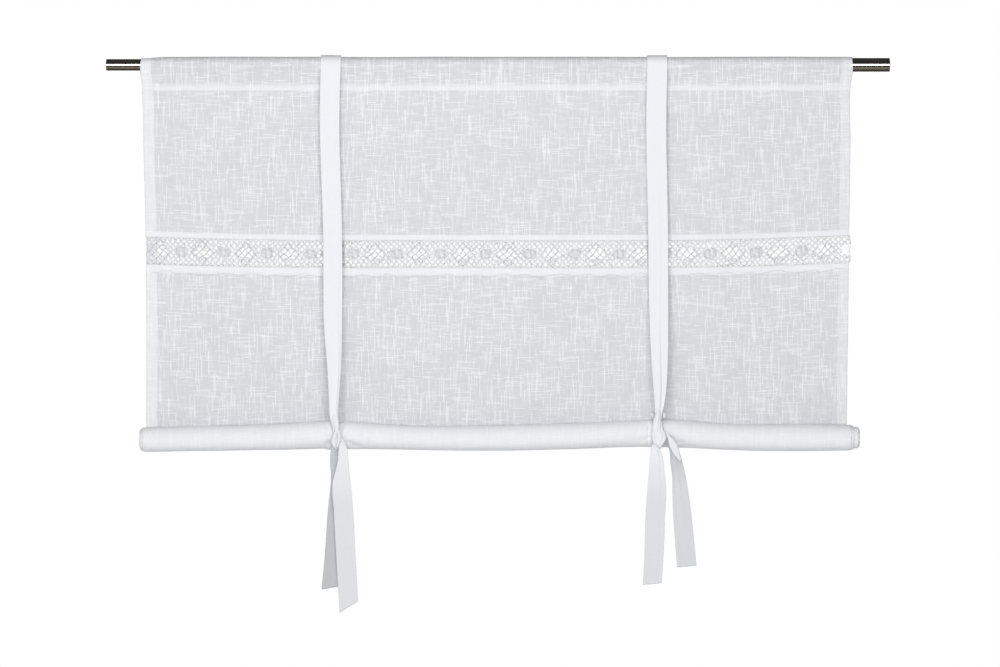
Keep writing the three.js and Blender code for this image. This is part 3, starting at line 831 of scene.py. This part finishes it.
def groundRun(start, way, first, last, fold):
    # One diagonal of the ground between two rows: two threads that twist once between crossings
    t = np.linspace(first, last, (last - first) * 6 + 1)
    x = repeatPlace((start + way * t) / lace["columns"])
    up = (t / lace["rows"] * 2 - 1) * (blind["laceHalf"] - 0.2 * mm)
    crossed = way * 0.42 * mm * np.cos(math.pi * t)
    runs = []
    for side in (-lace["pairHalf"], lace["pairHalf"]):
        swing, lift = side * np.cos(tau * t + 0.4), side * np.sin(tau * t + 0.4) + crossed
        runs.append(onLace(x - way * lace["across"] * swing, up + lace["upward"] * swing, lift - fold))
    return runs


def groundLines(way, low, high, radius, fold=0.0):
    # The ground's diagonals one way from low to high, open at windows and ovals. fold is how far behind they lie:
    # the end that is folded back has the diagonals between those of the front, and no openings.
    threads = []
    starts = range(math.floor(repeatAt(low) * lace["columns"]) - 12, math.ceil(repeatAt(high) * lace["columns"]) + 13)
    for start in [s for s in starts if s % 2 == (fold > 0)]:
        t = np.arange(lace["rows"]) + 0.5
        x = repeatPlace((start + way * t) / lace["columns"])
        up = (t / lace["rows"] * 2 - 1) * blind["laceHalf"]
        kept = (x > low) & (x < high)
        if not fold:
            kept &= ~inWindow(x, up, lace["windowReach"]) & ~inOval(x, up, 0.93)
        edges = np.flatnonzero(np.diff(np.concatenate([[0], kept.astype(int), [0]])))
        for first, last in edges.reshape(-1, 2):
            threads += [(path, radius, 0.0) for path in groundRun(start, way, first, last, fold)]
    return threads


def windowLines():
    # Four lines each way across every window: the outer two are its frame, the inner two cross it as thin pairs.
    # Short dark threads over some of their crossings are painted shade, for the shadowed gaps there.
    threads = []
    wide, high = lace["windowPitch"]
    lines = lace["windowLines"]
    rng = np.random.default_rng(67)
    t = np.linspace(lines[0], lines[-1], 19)
    for number in repeatsBetween(12 * mm, 0):
        for way, line in [(way, line) for way in (-1, 1) for line in lines]:
            isInner = abs(line) < 1
            cord = lace["inner" if isInner else "frame"]
            radius = cord["radius"] * (0.72 if isInner and way > 0 else 1.0)
            reach = t * cord["reach"]
            x = repeatPlace(number) + way * (reach + line) * wide / 2
            up = (reach - line) * high / 2
            for side in (-cord["gap"], cord["gap"]):
                swing, lift = side * np.cos(tau * reach * cord["twists"]), side * np.sin(tau * reach * cord["twists"])
                lift = lift + way * 0.3 * mm * np.cos(math.pi * (reach + line))
                path = onLace(x - way * 0.7 * swing, up + 0.7 * swing, lift)
                # The inner lines one way are darker: painted shade, standing in for the shade on those thin pairs
                threads.append((path, radius, 0.5 if isInner and way > 0 else 0.1))
        for a, b in [(a, b) for a in lines for b in lines if rng.random() < lace["paintedShadeDots"]]:
            reach = np.linspace(-0.7, 0.7, 4) * mm
            x = repeatPlace(number) + (a + b) * wide / 2 + reach
            up = (a - b) * high / 2 + reach * rng.choice([-0.9, 0.9])
            threads.append((onLace(x, up, 1.3 * mm), 0.62 * mm, rng.uniform(0.5, 1.0)))
    return threads


def clothwork():
    # Domed ovals of closely worked clothwork between the windows, their threads raised as ribs both ways
    numbers = repeatsBetween(6 * mm, lace["ovalPlace"])
    turn = np.linspace(0, tau, 61)[None, :-1]
    reach = np.linspace(0.02, 1, 15)[:, None]
    shape = (len(numbers), reach.size, turn.size)
    pinched = reach * (1 + 0.10 * np.cos(2 * turn) - 0.05 * np.cos(4 * turn))
    a, b = pinched * lace["oval"][0] * np.cos(turn), pinched * lace["oval"][1] * np.sin(turn)
    ribs = 0.34 * mm * np.cos((a + b) / (0.62 * mm)) * np.cos((a - b) / (0.62 * mm)) * (reach < 0.96)
    dome = 0.9 * mm * (1 - reach ** 2) + ribs + 0.3 * mm
    points = np.concatenate([onLace(repeatPlace(number) + a, b, dome) for number in numbers])
    mesh = bpy.data.meshes.new("lace_clothwork")
    fillMesh(mesh, points.reshape(-1, 3), squares(joined(np.arange(math.prod(shape)).reshape(shape))))
    mottled = ripples(63, 8, 0.0016, 0.008)(points[..., 0], points[..., 2]).reshape(shape)
    # The ovals are darker than the net: partly the clothwork's own tone at random, partly painted shade, most at the
    # rims
    rim = 0.11 * smoothStep((reach - 0.35) / 0.6)
    keepValues(mesh, "toneAndPaintedShade", np.clip(0.29 + rim + 0.22 * mottled, 0.05, 0.6))
    return thicken(asPiece(mesh, thread), 0.5 * mm)


def footside():
    # Straight strands along both edges and at both ends, dark specks and dark edge stitches: both painted shade
    half, radius = blind["laceHalf"], lace["edgeRadius"]
    x = np.arange(lace["left"], lace["right"], 2.5 * mm)
    paths = [onLace(x, side * (half - 0.4 * mm) + 0.16 * mm * np.sin(x / (1.9 * mm)),
                    0.35 * mm * np.sin(x / (2.5 * mm)))
             for side in (-1, 1)]
    up = np.linspace(-1, 1, 41) * half
    left, right = lace["left"], lace["right"]
    for place, out in ((left + 0.3 * mm, 0.0), (left + 1.1 * mm, -0.9), (left + 14.2 * mm, -0.9),
                       (right - 0.4 * mm, 0.0), (right - 1.5 * mm, 0.0)):
        paths.append(onLace(place + 0 * up, up, out * mm))
    threads = [(path, radius, 0.1) for path in paths]
    rng = np.random.default_rng(68)
    # Specks: short dark threads strewn over the net, painted shade for the shadowed gaps between its threads
    count = lace["specks"]
    specks = (rng.uniform(lace["left"], lace["right"], count), rng.uniform(-0.93, 0.93, count),
              rng.choice([-1, 1], count), rng.uniform(0.2, 0.85, count))
    reach = np.linspace(-0.6, 0.6, 4) * mm
    for place, height, way, shade in zip(*specks):
        threads.append((onLace(place + reach, height * half + way * reach, 1.25 * mm), 0.48 * mm, shade))
    # Painted shade: the edge stitches are much darker than thread, for the small shadowed holes along the seams
    for side, pitch, shade, wide in ((-1, lace["stitchPitch"], 1.0, 1.3), (1, lace["stitchPitch"] * 0.7, 0.45, 0.7)):
        reach = np.linspace(-wide, wide, 4) * mm
        for start in np.arange(lace["left"] + 3 * mm, lace["right"] - 3 * mm, pitch):
            path = onLace(start + reach, side * (half - 0.9 * mm) + 0 * reach, 1.2 * mm)
            threads.append((path, radius, shade * (0.55 + 0.45 * math.sin(start / (41 * mm)))))
    return threads


def picots():
    # Small loops along the lower edge of the strip under the lace
    x = np.arange(lace["left"] + 12 * mm, lace["right"] - 10 * mm, 0.65 * mm)
    swing = (x / (7.75 * mm)) * tau
    drop = blind["laceHalf"] + blind["lowerStrip"] + 0.15 * mm + 0.45 * mm * np.cos(swing)
    return [(onLace(x + 0.5 * mm * np.sin(2 * swing), -drop, 1.1 * mm), 0.38 * mm, 0.25)]


def makeLace():
    # The short threads over the net are a piece of their own, which is not measured as part of the sheet
    left, right = lace["left"] + 1 * mm, lace["right"] - 1.2 * mm
    threads = groundLines(-1, left, right, lace["threadRadius"]) + groundLines(1, left, right, lace["threadRadius"])
    threads += groundLines(1, left, lace["left"] + lace["foldBack"], lace["foldRadius"], 1.0 * mm)
    threads += windowLines() + footside()
    net = strands("lace_threads", [item for item in threads if len(item[0]) > 4], 3)
    stitches = strands("lace_edge_stitches", [item for item in threads if len(item[0]) == 4], 3)
    ovals = clothwork()
    loops = strands("lace_picots", picots(), 5)
    for piece in (net, ovals, loops, stitches):
        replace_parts(piece, "lace_insert")


makeLace()
print("lace made")


# Sewing

sewing = {
    "stitch": 2.7 * mm,
    "pitch": 3.4 * mm,
    "radius": 0.2 * mm,
    "lift": 0.26 * mm,
    "shade": 0.12,
    "hems": (11, -12),  # the columns that the side hems' stitches follow
    "turned": 8,  # columns left out at each side of a line across the cloth
}


def sewn(name, lines, covers):
    # Straight stitches along lines of points of the cloth, laid on its front and sunk in at their ends
    threads = []
    for line in lines:
        reach = distances(line)
        starts = np.arange(0.4 * mm, reach[-1] - sewing["pitch"], sewing["pitch"])
        at = starts[:, None] + np.linspace(0, 1, 4) * sewing["stitch"]
        laid = np.stack([np.interp(at, reach, line[:, k]) for k in range(3)], axis=-1)
        laid[..., 1] -= sewing["lift"] * np.array([0.3, 1.0, 1.0, 0.3])
        threads += [(path, sewing["radius"], sewing["shade"]) for path in laid]
    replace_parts(strands(name, threads, 3), covers)


def between(points, row, share):
    # A line across the cloth, share of the way from one row of points to the next, without the turned hems
    line = points[row] * (1 - share) + points[row + 1] * share
    return line[sewing["turned"]:-sewing["turned"]]


def sewPanels():
    # The pocket's seam is the front row of points that lies nearest to its height
    frontRows = np.arange(49, 66)
    seam = int(frontRows[np.argmin(np.abs(upperPoints[frontRows, 60, 2] - blind["pocketSeam"]))])
    across = [between(upperPoints, row, share) for row, share in ((seam, 0.5), (-8, 0.45), (-6, 0.7))]
    sewn("sewing_of_upper_panel", across + [upperPoints[seam + 1:-8, hem] for hem in sewing["hems"]], "upper_panel")
    across = [between(lowerPoints, row, share) for row, share in ((6, 0.55), (4, 0.3))]
    sewn("sewing_of_lower_panel", across + [lowerPoints[8:66, hem] for hem in sewing["hems"]], "lower_panel")


sewPanels()
print("sewing made")


# Tie bands

tie = {
    "width": 28 * mm,
    "thickness": 0.85 * mm,
    "columns": 41,
    "tailRows": 90,
    "foldLimit": 2.4 * mm,
    "overRadius": 13.0 * mm,
    "wrapClearance": 3.9 * mm,
    "wrapWidth": 13 * mm,
    "knotWidth": 8 * mm,
    "turnGrid": (30, 56),
    # Height, x and width down the front
    "leftRun": np.array([(0, -232.6, 28), (-63, -234, 27.3), (-244, -229.6, 26.2), (-369, -228.8, 24.5),
                         (-425, -227.3, 18.7), (-467, -227.7, 13.4), (-488, -227.7, 11.2), (-500, -226, 9.2),
                         (-512, -224.5, 8)]) * mm,
    "rightRun": np.array([(0, 221.5, 28), (-63, 220.2, 28), (-244, 222.5, 27.6), (-327, 223, 26.8),
                          (-397, 224.1, 23.8), (-439, 224.7, 19.6), (-467, 224.4, 14.4), (-475, 223.9, 12.8),
                          (-484, 223.2, 9.4), (-504, 221, 8)]) * mm,
    "leftKnot": np.array([-222.9, -524]) * mm,
    "rightKnot": np.array([222, -517]) * mm,
    # Height, x, y, width and rise across the width of each tail
    "leftFront": np.array([(-522.5, -215.6, -31, 4, 0), (-528, -215.4, -34, 8.4, 0), (-537, -214.6, -35, 12.4, 1),
                           (-550, -214.6, -35, 14.4, 2), (-560, -215.4, -34, 17.4, 3), (-576, -216.6, -32.5, 23.8, 3),
                           (-623, -213.8, -31.5, 26.8, 2), (-681, -210.8, -31, 26.8, 3), (-725, -208.2, -31, 26.4, 9),
                           (-753.4, -206.7, -31, 25.8, 16)]) * mm,
    "leftBack": np.array([(-528, -226.5, -24, 8, 0), (-548, -226.8, -24.5, 11.8, 0), (-571, -221.8, -25, 19.6, -2),
                          (-623, -224.6, -24.5, 23, -1), (-690, -229.5, -24, 23, 2),
                          (-727.5, -233, -24, 23.4, 4)]) * mm,
    "rightFront": np.array([(-527, 217.2, -31, 4, 0), (-531.5, 217.6, -34, 9.5, -1), (-538, 218.8, -35.5, 14.2, -2),
                            (-566, 219.9, -33, 21.5, -3), (-592, 220.1, -32, 26.4, -2), (-623, 218.2, -31.5, 27.2, 0),
                            (-676, 216.4, -31, 26.8, 1), (-721.5, 213.8, -31, 26.4, 2.4)]) * mm,
    "rightBack": np.array([(-514, 232, -24, 4, 0), (-525, 238.4, -27, 6.6, 2), (-536, 243.6, -29, 11.2, 5),
                           (-550, 246.5, -28, 15, 6), (-571, 250.6, -26, 18, 4), (-592, 252.5, -25.5, 21.5, 3),
                           (-623, 255.4, -25, 25, 2), (-662, 258.7, -25, 26.4, 2),
                           (-697.5, 262, -25, 26.8, 2.4)]) * mm,
    "rightFlap": np.array([(-511.5, 233.0, -29.0, 1.5, 0), (-519.7, 238.6, -30.5, 6.0, 0),
                           (-526.7, 241.8, -31.0, 9.0, 2), (-532.3, 244.2, -31.0, 9.6, 3),
                           (-539.2, 247.6, -30.8, 7.2, 4), (-544.8, 250.0, -30.6, 4.2, 4),
                           (-550.0, 253.0, -30.4, 0.8, 3)]) * mm,
}

# Creases are their place across, half width and depth. The share at a tail's top and further down is how much
# of the cloth's own colour shows; the rest is painted shade, a darker colour that stands in for shade on the tails.
tieFolds = {
    "leftStrip": {"creases": [(0.72, 0.10, 0.9), (-0.35, 0.3, 0.22)], "drift": 0.05},
    "leftFront": {"creases": [(0.3, 0.5, 0.5), (-0.5, 0.2, 0.3)], "drift": 0.1, "curl": 0.5 * mm,
                  "unshadedShare": (0.95, 0.66)},
    "leftBack": {"creases": [(0.5, 0.3, 0.7), (-0.4, 0.2, 0.3)], "drift": 0.1, "curl": -0.4 * mm,
                 "unshadedShare": (0.1, 0.0)},
    "rightStrip": {"creases": [(0.06, 0.11, 1.0), (-0.6, 0.25, 0.22)], "drift": 0.05},
    "rightFront": {"creases": [(0.5, 0.09, 0.9), (-0.3, 0.3, 0.3)], "drift": 0.06, "curl": 0.5 * mm,
                   "unshadedShare": (1.0, 0.64)},
    "rightBack": {"creases": [(-0.5, 0.25, 0.6), (0.4, 0.2, 0.3)], "drift": 0.08, "curl": 0.4 * mm,
                  "unshadedShare": (0.0, 0.5)},
    "rightFlap": {"creases": [], "drift": 0, "curl": 0.2 * mm, "unshadedShare": (1.0, 0.9)},
}


def ribbon(name, rows, folded, seed):
    # A band of cloth from its rows: centre, the way out of the cloth, width and rise across the width. Where the
    # band is narrower than its cut width, the rest goes into creases, each a bell-shaped dip.
    centre, out, width = rows["centre"], rows["out"], rows["width"][:, None]
    across = np.linspace(-1, 1, tie["columns"])[None, :]
    gathered = np.sqrt(np.clip(1 - (width / tie["width"]) ** 2, 0, 1))
    down = distances(centre)[:, None]
    soft = ripples(seed, 6, 0.02, 0.12)
    swing = across ** 6 * 0.45
    for place, wide, deep in folded["creases"]:
        at = place + folded["drift"] * np.sin(down * 31 + place * 7)
        swing = swing + deep * np.exp(-((across - at) / wide) ** 2)
    height = rows["curl"][:, None] * across ** 2 - gathered * tie["foldLimit"] * swing
    height = height + 0.35 * mm * soft(across * 0.014, down) * rows["loose"][:, None]
    points = stacked(centre[:, :1] + across * width / 2, centre[:, 1:2] + out[:, :1] * height,
                     centre[:, 2:] + out[:, 1:] * height + across * rows["rise"][:, None] / 2)
    piece = gridMesh(name, points, stacked(across * tie["width"] / 2, down), tieFabric,
                     extras={"unshadedShare": rows["unshadedShare"][:, None]})
    return thicken(piece, tie["thickness"])


def sling(name, run, knot, seed, folded):
    # From the knot up the front, over the heading, down behind the cloth and under the roll to the knot again
    knotX, knotZ = knot
    width, overRadius = tie["width"], tie["overRadius"]
    wrapRadius = float(rollRadius(knotX)) * 1.03 + tie["wrapClearance"]
    middle = float(rollMiddle(knotX))
    heights = np.concatenate([np.linspace(knotZ + 3 * mm, -0.33, 50)[:-1], np.linspace(-0.33, 0, 60)])
    x, frontWidth = (curveThrough(heights, run[::-1, 0], run[::-1, k]) for k in (1, 2))
    y = -overRadius + smoothStep(heights / middle) * (overRadius - wrapRadius - 2 * mm)
    over, under = np.linspace(math.pi, 0, 33)[1:-1], np.linspace(0, -math.pi * 0.93, 40)[1:]
    down = np.linspace(0, middle, 70)
    fall = smoothStep(down / middle)
    centre = np.concatenate([
        stacked(x, y, heights),
        stacked(x[-1], overRadius * np.cos(over), overRadius * np.sin(over)),
        stacked(x[-1] + (knotX - x[-1]) * fall, overRadius + fall * (wrapRadius - overRadius), down),
        stacked(knotX, wrapRadius * np.cos(under), middle + wrapRadius * np.sin(under))])
    widths = np.concatenate([frontWidth, np.full(len(over), width),
                             width + (tie["wrapWidth"] - width) * smoothStep((fall - 0.45) / 0.5),
                             np.linspace(tie["wrapWidth"], tie["knotWidth"], len(under))])
    along = np.gradient(centre, axis=0)
    out = stacked(along[:, 2], -along[:, 1])
    flat = np.zeros(len(centre))
    rows = {"centre": centre, "out": out / np.linalg.norm(out, axis=1, keepdims=True), "width": widths, "rise": flat,
            "curl": flat, "loose": np.where(np.arange(len(centre)) < len(heights), 1.0, 0.4), "unshadedShare": flat + 1}
    return ribbon(name, rows, folded, seed)


def tail(name, table, seed, folded):
    # A free end hanging from a knot, cut square or slanting at its end
    heights = np.linspace(table[0, 0], table[-1, 0], tie["tailRows"])
    x, y, width, rise = (curveThrough(-heights, -table[:, 0], table[:, k]) for k in (1, 2, 3, 4))
    t = np.linspace(0, 1, len(heights))
    fresh = smoothStep(5 * t)
    rows = {"centre": stacked(x, y, heights), "out": np.broadcast_to([-1.0, 0.0], (len(heights), 2)), "width": width,
            "rise": rise, "curl": folded["curl"] * fresh, "loose": 1.6 * fresh,
            "unshadedShare": np.interp(t, [0.08, 0.4], folded["unshadedShare"])}
    return ribbon(name, rows, folded, seed)


def plumpTurn(centre, y, half, bulge, ridges, start):
    # One turn of a pulled knot: a closed, plump tube of gathered cloth along a path in the plane of the blind.
    # centre has the path's points, half and bulge its half width and half depth at each.
    rows, columns = tie["turnGrid"]
    t = np.linspace(0, 1, rows)
    places = np.linspace(0, 1, len(centre))
    centre = np.array(centre, float)
    x, z = (curveThrough(t, places, centre[:, k]) * mm for k in (0, 1))
    depth = curveThrough(t, places, np.broadcast_to(y, len(centre))) * mm
    wide, thick = (np.interp(t, places, np.broadcast_to(value, len(centre))) * mm for value in (half, bulge))
    closing = np.sqrt(np.clip(1 - (2 * t - 1) ** 2, 0.0, 1)) ** 0.75 + 0.02
    dx, dz = np.gradient(x), np.gradient(z)
    length = np.hypot(dx, dz)
    turn, t = np.linspace(0, tau, columns + 1)[None, :-1], t[:, None]
    gather = 1 + 0.075 * np.sin(ridges * turn + 2.2 * t + start) + 0.03 * np.sin((2 * ridges + 3) * turn - 4 * t)
    side = (wide * closing)[:, None] * np.cos(turn) * gather
    up = (thick * closing)[:, None] * np.sin(turn) * gather
    points = stacked(x[:, None] + (dz / length)[:, None] * side, depth[:, None] - up,
                     z[:, None] - (dx / length)[:, None] * side)
    return points, stacked(np.linspace(0, 0.04, columns + 1), np.cumsum(length)[:, None])


def knotBody(name, turns):
    pieces = []
    for k, (*shape, unshaded) in enumerate(turns):
        points, uv = plumpTurn(*shape)
        pieces.append(gridMesh(name + "_" + str(k), points, uv, tieFabric, around=True,
                               extras={"unshadedShare": unshaded}))
    return pieces


def atPhoto(*places):
    # Photo columns and rows as X and Z in millimetres
    return [((x - photo["column"]) * photo["pixel"], (photo["row"] - y) * photo["pixel"]) for x, y in places]


# Each turn of a knot: path, depth, half width and half thickness in mm, ridges, their start, and the share of
# its own colour, where the rest is painted shade
knotTurns = {
    "left": [
        (atPhoto((334.6, 414), (336.0, 421), (337.2, 428), (337.8, 435)),
         (-22.6, -23.5, -25, -25), (4.4, 4.5, 3.7, 3.2), 3.0, 5, 0.4, 1),
        (atPhoto((337.4, 429.5), (335.6, 435.5), (334.9, 442), (337.0, 449)),
         (-25, -26.5, -27.5, -26), (2.6, 3.7, 4.0, 1.9), 4.4, 6, 1.9, 1),
        (atPhoto((338.9, 428), (339.8, 435), (339.4, 441), (337.8, 447.5)),
         (-24, -25.5, -27, -27), (2.2, 2.4, 2.2, 1.5), 3.4, 4, 3.1, 1),
        (atPhoto((339.8, 450.5), (340.6, 444.5), (343.2, 440.2), (345.9, 443), (347.1, 449)),
         (-29.5, -30.5, -30.5, -30, -29.5), 1.3, 1.4, 3, 1.0, 1),
        (atPhoto((335, 436), (338.5, 439), (342.5, 443)), (-22, -22, -23), (4.6, 5.6, 4), 5.0, 7, 2.0, 1),
        # A dark tube under the knot, almost wholly painted shade
        (atPhoto((334.0, 451), (337.0, 449.5), (339.6, 446)), (-21, -22, -23), (2.6, 3.0, 2.2), 3.0, 4, 0.9, 0.1),
    ],
    "right": [
        (atPhoto((658.2, 409.5), (657.2, 416), (656.2, 423), (655.8, 431), (656.6, 437)),
         (-24, -25, -26.2, -26.4, -25), (3.2, 4.2, 5.3, 6.2, 5.4), 4.0, 7, 1.2, 1),
        (atPhoto((655.4, 424), (656.8, 431), (658.4, 437), (657.2, 443), (655.2, 450)),
         (-23.6, -25.4, -27, -27, -26), (5.6, 8.8, 10.2, 7.6, 5), 4.2, 9, 2.6, 1),
        (atPhoto((660.0, 418.5), (660.6, 425), (661.6, 429.5), (664.6, 431.4)),
         (-25, -26, -26, -24.5), (1.2, 1.3, 1.7, 1.4), 1.9, 4, 0.5, 1),
        (atPhoto((650.2, 450.5), (651.4, 446.6), (654.0, 444.8), (657.0, 446.6), (659.4, 450.6)),
         (-29.5, -30.4, -30.8, -30.4, -29), 1.2, 1.4, 3, 0.7, 1),
        (atPhoto((651.0, 412.8), (651.7, 415), (652.4, 417.4)), (-20, -21, -20), (1.3, 1.8, 1.3), 1.8, 4, 0.9, 1),
        (atPhoto((663.2, 412.2), (663.8, 415), (663.0, 418)), (-20, -21.4, -20), (1.5, 2.1, 1.4), 2.0, 4, 2.0, 1),
        # A dark tube wholly of painted shade, in the shadowed gap under the knot
        (atPhoto((660.4, 446), (664.2, 443.2), (668.6, 437.5)), (-19.5, -19.5, -20), (3.2, 3.8, 2.4), 2.6, 4, 0.3, 0),
    ],
}


def tieBand(side, seed):
    strip = sling("tie_band_" + side + "_strip", tie[side + "Run"], tie[side + "Knot"], seed, tieFolds[side + "Strip"])
    body = knotBody("tie_band_" + side + "_knot", knotTurns[side])
    front = tail("tie_band_" + side + "_tail_front", tie[side + "Front"], seed + 2, tieFolds[side + "Front"])
    back = tail("tie_band_" + side + "_tail_back", tie[side + "Back"], seed + 3, tieFolds[side + "Back"])
    for piece in (strip, *body, front, back):
        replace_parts(piece, "tie_band_" + side)
    return back, body


back, body = tieBand("left", 50)
back, body = tieBand("right", 70)
flap = tail("tie_band_right_tail_flap", tie["rightFlap"], 75, tieFolds["rightFlap"])
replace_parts(flap, "tie_band_right")
print("tie bands made")


# Rod

def lathe(name, profile, covers):
    # A closed profile of (place along the rod, radius) turned round the rod's axis
    profile = np.array(profile + profile[:1])
    turn = -np.linspace(0, tau, rod["segments"] + 1)[None, :]
    along, radius = profile[:, :1], profile[:, 1:]
    points = stacked(along, radius * np.cos(turn), radius * np.sin(turn))[:, :-1]
    uv = stacked(distances(profile)[:, None], -turn * rod["mapRadius"])
    piece = gridMesh(name, points, uv, steel, around=True)
    piece.modifiers.new("Close the profile", "WELD").merge_threshold = 1e-6
    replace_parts(piece, covers)


def ring(start, end, outer):
    # Tube wall with its outer edges rounded, from start to end
    lip, inner = rod["lip"], outer - rod["wall"]
    corner = [(0.0, 2.0), (0.0, 1.0), (0.3, 0.3), (1.0, 0.0), (3.0, 0.0)]
    left = [(start + lip * a, outer - lip * b) for a, b in corner]
    right = [(end - lip * a, outer - lip * b) for a, b in corner[::-1]]
    return left + right + [(end, inner), (end - lip, inner), (start + lip, inner), (start, inner)]


def cap(outer):
    # A flush flange with a rounded face, and a hollow stem that goes into the tube
    stem, inside = outer - rod["wall"] - rod["stemGap"], outer - rod["wall"] - rod["stemWall"]
    end, face = rod["end"], rod["end"] - rod["capFlange"]
    flange = [(face, stem), (face, outer - 0.2 * mm), (face + 0.2 * mm, outer), (face + 0.5 * mm, outer),
              (end - 1 * mm, outer), (end - 0.6 * mm, outer), (end - 0.15 * mm, outer - 0.25 * mm),
              (end, outer - 0.8 * mm), (end, rod["centreHole"])]
    floor, mouth = face - 1 * mm, face - rod["stemLength"]
    return flange + [(floor, rod["centreHole"]), (floor, inside), (mouth, inside), (mouth, stem)]


def makeRod():
    tubeEnd = rod["end"] - rod["capFlange"] - rod["capGap"]
    thick, thin = rod["thickRadius"], rod["thinRadius"]
    lathe("rod_thick_tube", ring(rod["thickStart"], tubeEnd, thick), "rod_outer_tube")
    lathe("rod_thin_tube", ring(-tubeEnd, rod["thickStart"] + rod["insertion"], thin), "rod_inner_tube")
    lathe("rod_end_cap_left_turned", [(-a, r) for a, r in cap(thin)][::-1], "rod_end_cap_left")
    lathe("rod_end_cap_right_turned", cap(thick), "rod_end_cap_right")


makeRod()
print("rod made")


# Room, lights and camera

room = {
    "behind": (1.2, 1.2, 1.22, 1),
    # Soft fill: height of the direction, brightness
    "fill": [(-1.0, 0.66), (-0.3, 0.44), (0.0, 0.37), (0.45, 0.19), (1.0, 0.05)],
    # What shiny things mirror: degrees round the rod from straight in front, upwards positive, and the light there
    "mirror": [(-180, (0.05, 0.045, 0.035)), (-112, (0.06, 0.052, 0.04)), (-90, (0.11, 0.10, 0.08)),
               (-72, (0.21, 0.19, 0.15)), (-54, (0.34, 0.31, 0.25)), (-45, (0.20, 0.185, 0.15)),
               (-37, (0.06, 0.055, 0.045)), (-24, (0.05, 0.046, 0.04)),
               (30, (0.035, 0.032, 0.028)), (62, (0.03, 0.028, 0.025)), (78, (0.075, 0.072, 0.068)),
               (95, (0.03, 0.028, 0.025)), (180, (0.03, 0.028, 0.025))],
    # Place, aim, size, watts, and whether shiny things mirror it
    "lights": {"front bank": ((-0.05, -2.9, -0.18), (-0.05, 0, -0.18), (1.9, 1.04), 58, True),
               "upper softbox": ((-0.3, -3.0, 2.0), (0, 0, -0.36), (2.0, 1.0), 25, False),
               "left softbox": ((-1.9, -2.6, 0.1), (0, 0, -0.36), (0.7, 1.2), 5, True)},
    "cameraAt": (0.0028, -6, -0.3742),
    "floorHeight": -1.2,
    "floorReach": 2.5,
    "floorTint": (0.88, 0.88, 0.89, 1),
}


def whiteRoom():
    # The camera sees plain white. Matt surfaces get a soft fill that is weaker from above, and shiny ones mirror a
    # dark studio with a warmer, lighter strip below the front.
    world = bpy.data.worlds.new("White room")
    world.use_nodes = True
    nodes, links = world.node_tree.nodes, world.node_tree.links

    def node(kind, *feeds, **settings):
        made = nodes.new(kind)
        for key, value in settings.items():
            setattr(made, key, value)
        for socket, value in enumerate(feeds):
            if isinstance(value, bpy.types.NodeSocket):
                links.new(value, made.inputs[socket])
            else:
                made.inputs[socket].default_value = value
        return made.outputs[0]

    def maths(operation, *values):
        return node("ShaderNodeMath", *values, operation=operation)

    def light(colour):
        return node("ShaderNodeBackground", colour, 1.0)

    def mixed(share, first, second):
        return node("ShaderNodeMixShader", share, first, second)

    def table(position, entries, low, high):
        # A ramp through a table of places and brightnesses or colours
        colours = node("ShaderNodeValToRGB", position)
        ramp = colours.node.color_ramp
        ramp.elements.remove(ramp.elements[0])
        for k, (place, value) in enumerate(entries):
            at = (place - low) / (high - low)
            element = ramp.elements[0] if k == 0 else ramp.elements.new(at)
            element.position = at
            element.color = (*(value if isinstance(value, tuple) else (value * 0.985, value * 0.99, value)), 1)
        return colours

    way = nodes.new("ShaderNodeTexCoord").outputs["Generated"]
    axes = node("ShaderNodeSeparateXYZ", way).node.outputs
    height = maths("MULTIPLY_ADD", axes[2], 0.5, 0.5)
    around = maths("ARCTAN2", axes[2], maths("MULTIPLY", axes[1], -1.0))
    turned = maths("MULTIPLY_ADD", around, 1 / tau, 0.5)
    behind = maths("POWER", maths("MAXIMUM", axes[1], 0.0), 3.0)
    fill = mixed(behind, light(table(height, room["fill"], -1, 1)), light(room["behind"]))
    ray = nodes.new("ShaderNodeLightPath").outputs
    shone = mixed(ray["Is Glossy Ray"], fill, light(table(turned, room["mirror"], -180, 180)))
    links.new(mixed(ray["Is Camera Ray"], shone, light((1, 1, 1, 1))), nodes["World Output"].inputs[0])
    bpy.context.scene.world = world


def staged(name, what, place=(0, 0, 0)):
    holder = bpy.data.objects.new(name, what)
    bpy.context.scene.collection.objects.link(holder)
    holder.location = place
    return holder


def area(name, place, aim, size, watts, mirrored):
    light = bpy.data.lights.new(name, "AREA")
    light.shape = "RECTANGLE"
    light.size, light.size_y = size
    light.energy = watts
    holder = staged(name, light, place)
    holder.visible_camera, holder.visible_glossy = False, mirrored
    away = np.array(aim, float) - np.array(place, float)
    holder.rotation_euler = (math.atan2(math.hypot(away[0], away[1]), -away[2]), 0, math.atan2(-away[0], away[1]))


def camera():
    # Straight from the front, with the photo's pixels at their size on the rod's plane
    lens = bpy.data.cameras.new("Camera")
    lens.sensor_width = 36
    lens.lens = lens.sensor_width * -room["cameraAt"][1] / (photo["pixel"] * mm * photo["columns"])
    lens.clip_end = 50
    made = staged("Camera", lens, room["cameraAt"])
    made.rotation_euler = (math.pi / 2, 0, 0)
    bpy.context.scene.camera = made


def makeFloor():
    # A plain pale floor well under the tails. Only the camera sees it, so the light from below still reaches the
    # cloth.
    reach, height = room["floorReach"], room["floorHeight"]
    corners = [(-reach, -reach, height), (reach, -reach, height), (reach, reach, height), (-reach, reach, height)]
    mesh = bpy.data.meshes.new("floor")
    mesh.from_pydata(corners, [], [(0, 1, 2, 3)])
    mesh.materials.append(Tree("pale floor").finish(Base_Color=room["floorTint"], Roughness=0.9))
    floor = staged("floor", mesh)
    floor.visible_diffuse = floor.visible_glossy = floor.visible_transmission = floor.visible_shadow = False


whiteRoom()
camera()
makeFloor()
for name, settings in room["lights"].items():
    area(name, *settings)
view = bpy.context.scene.view_settings
view.view_transform = "Standard"
view.look = "None"
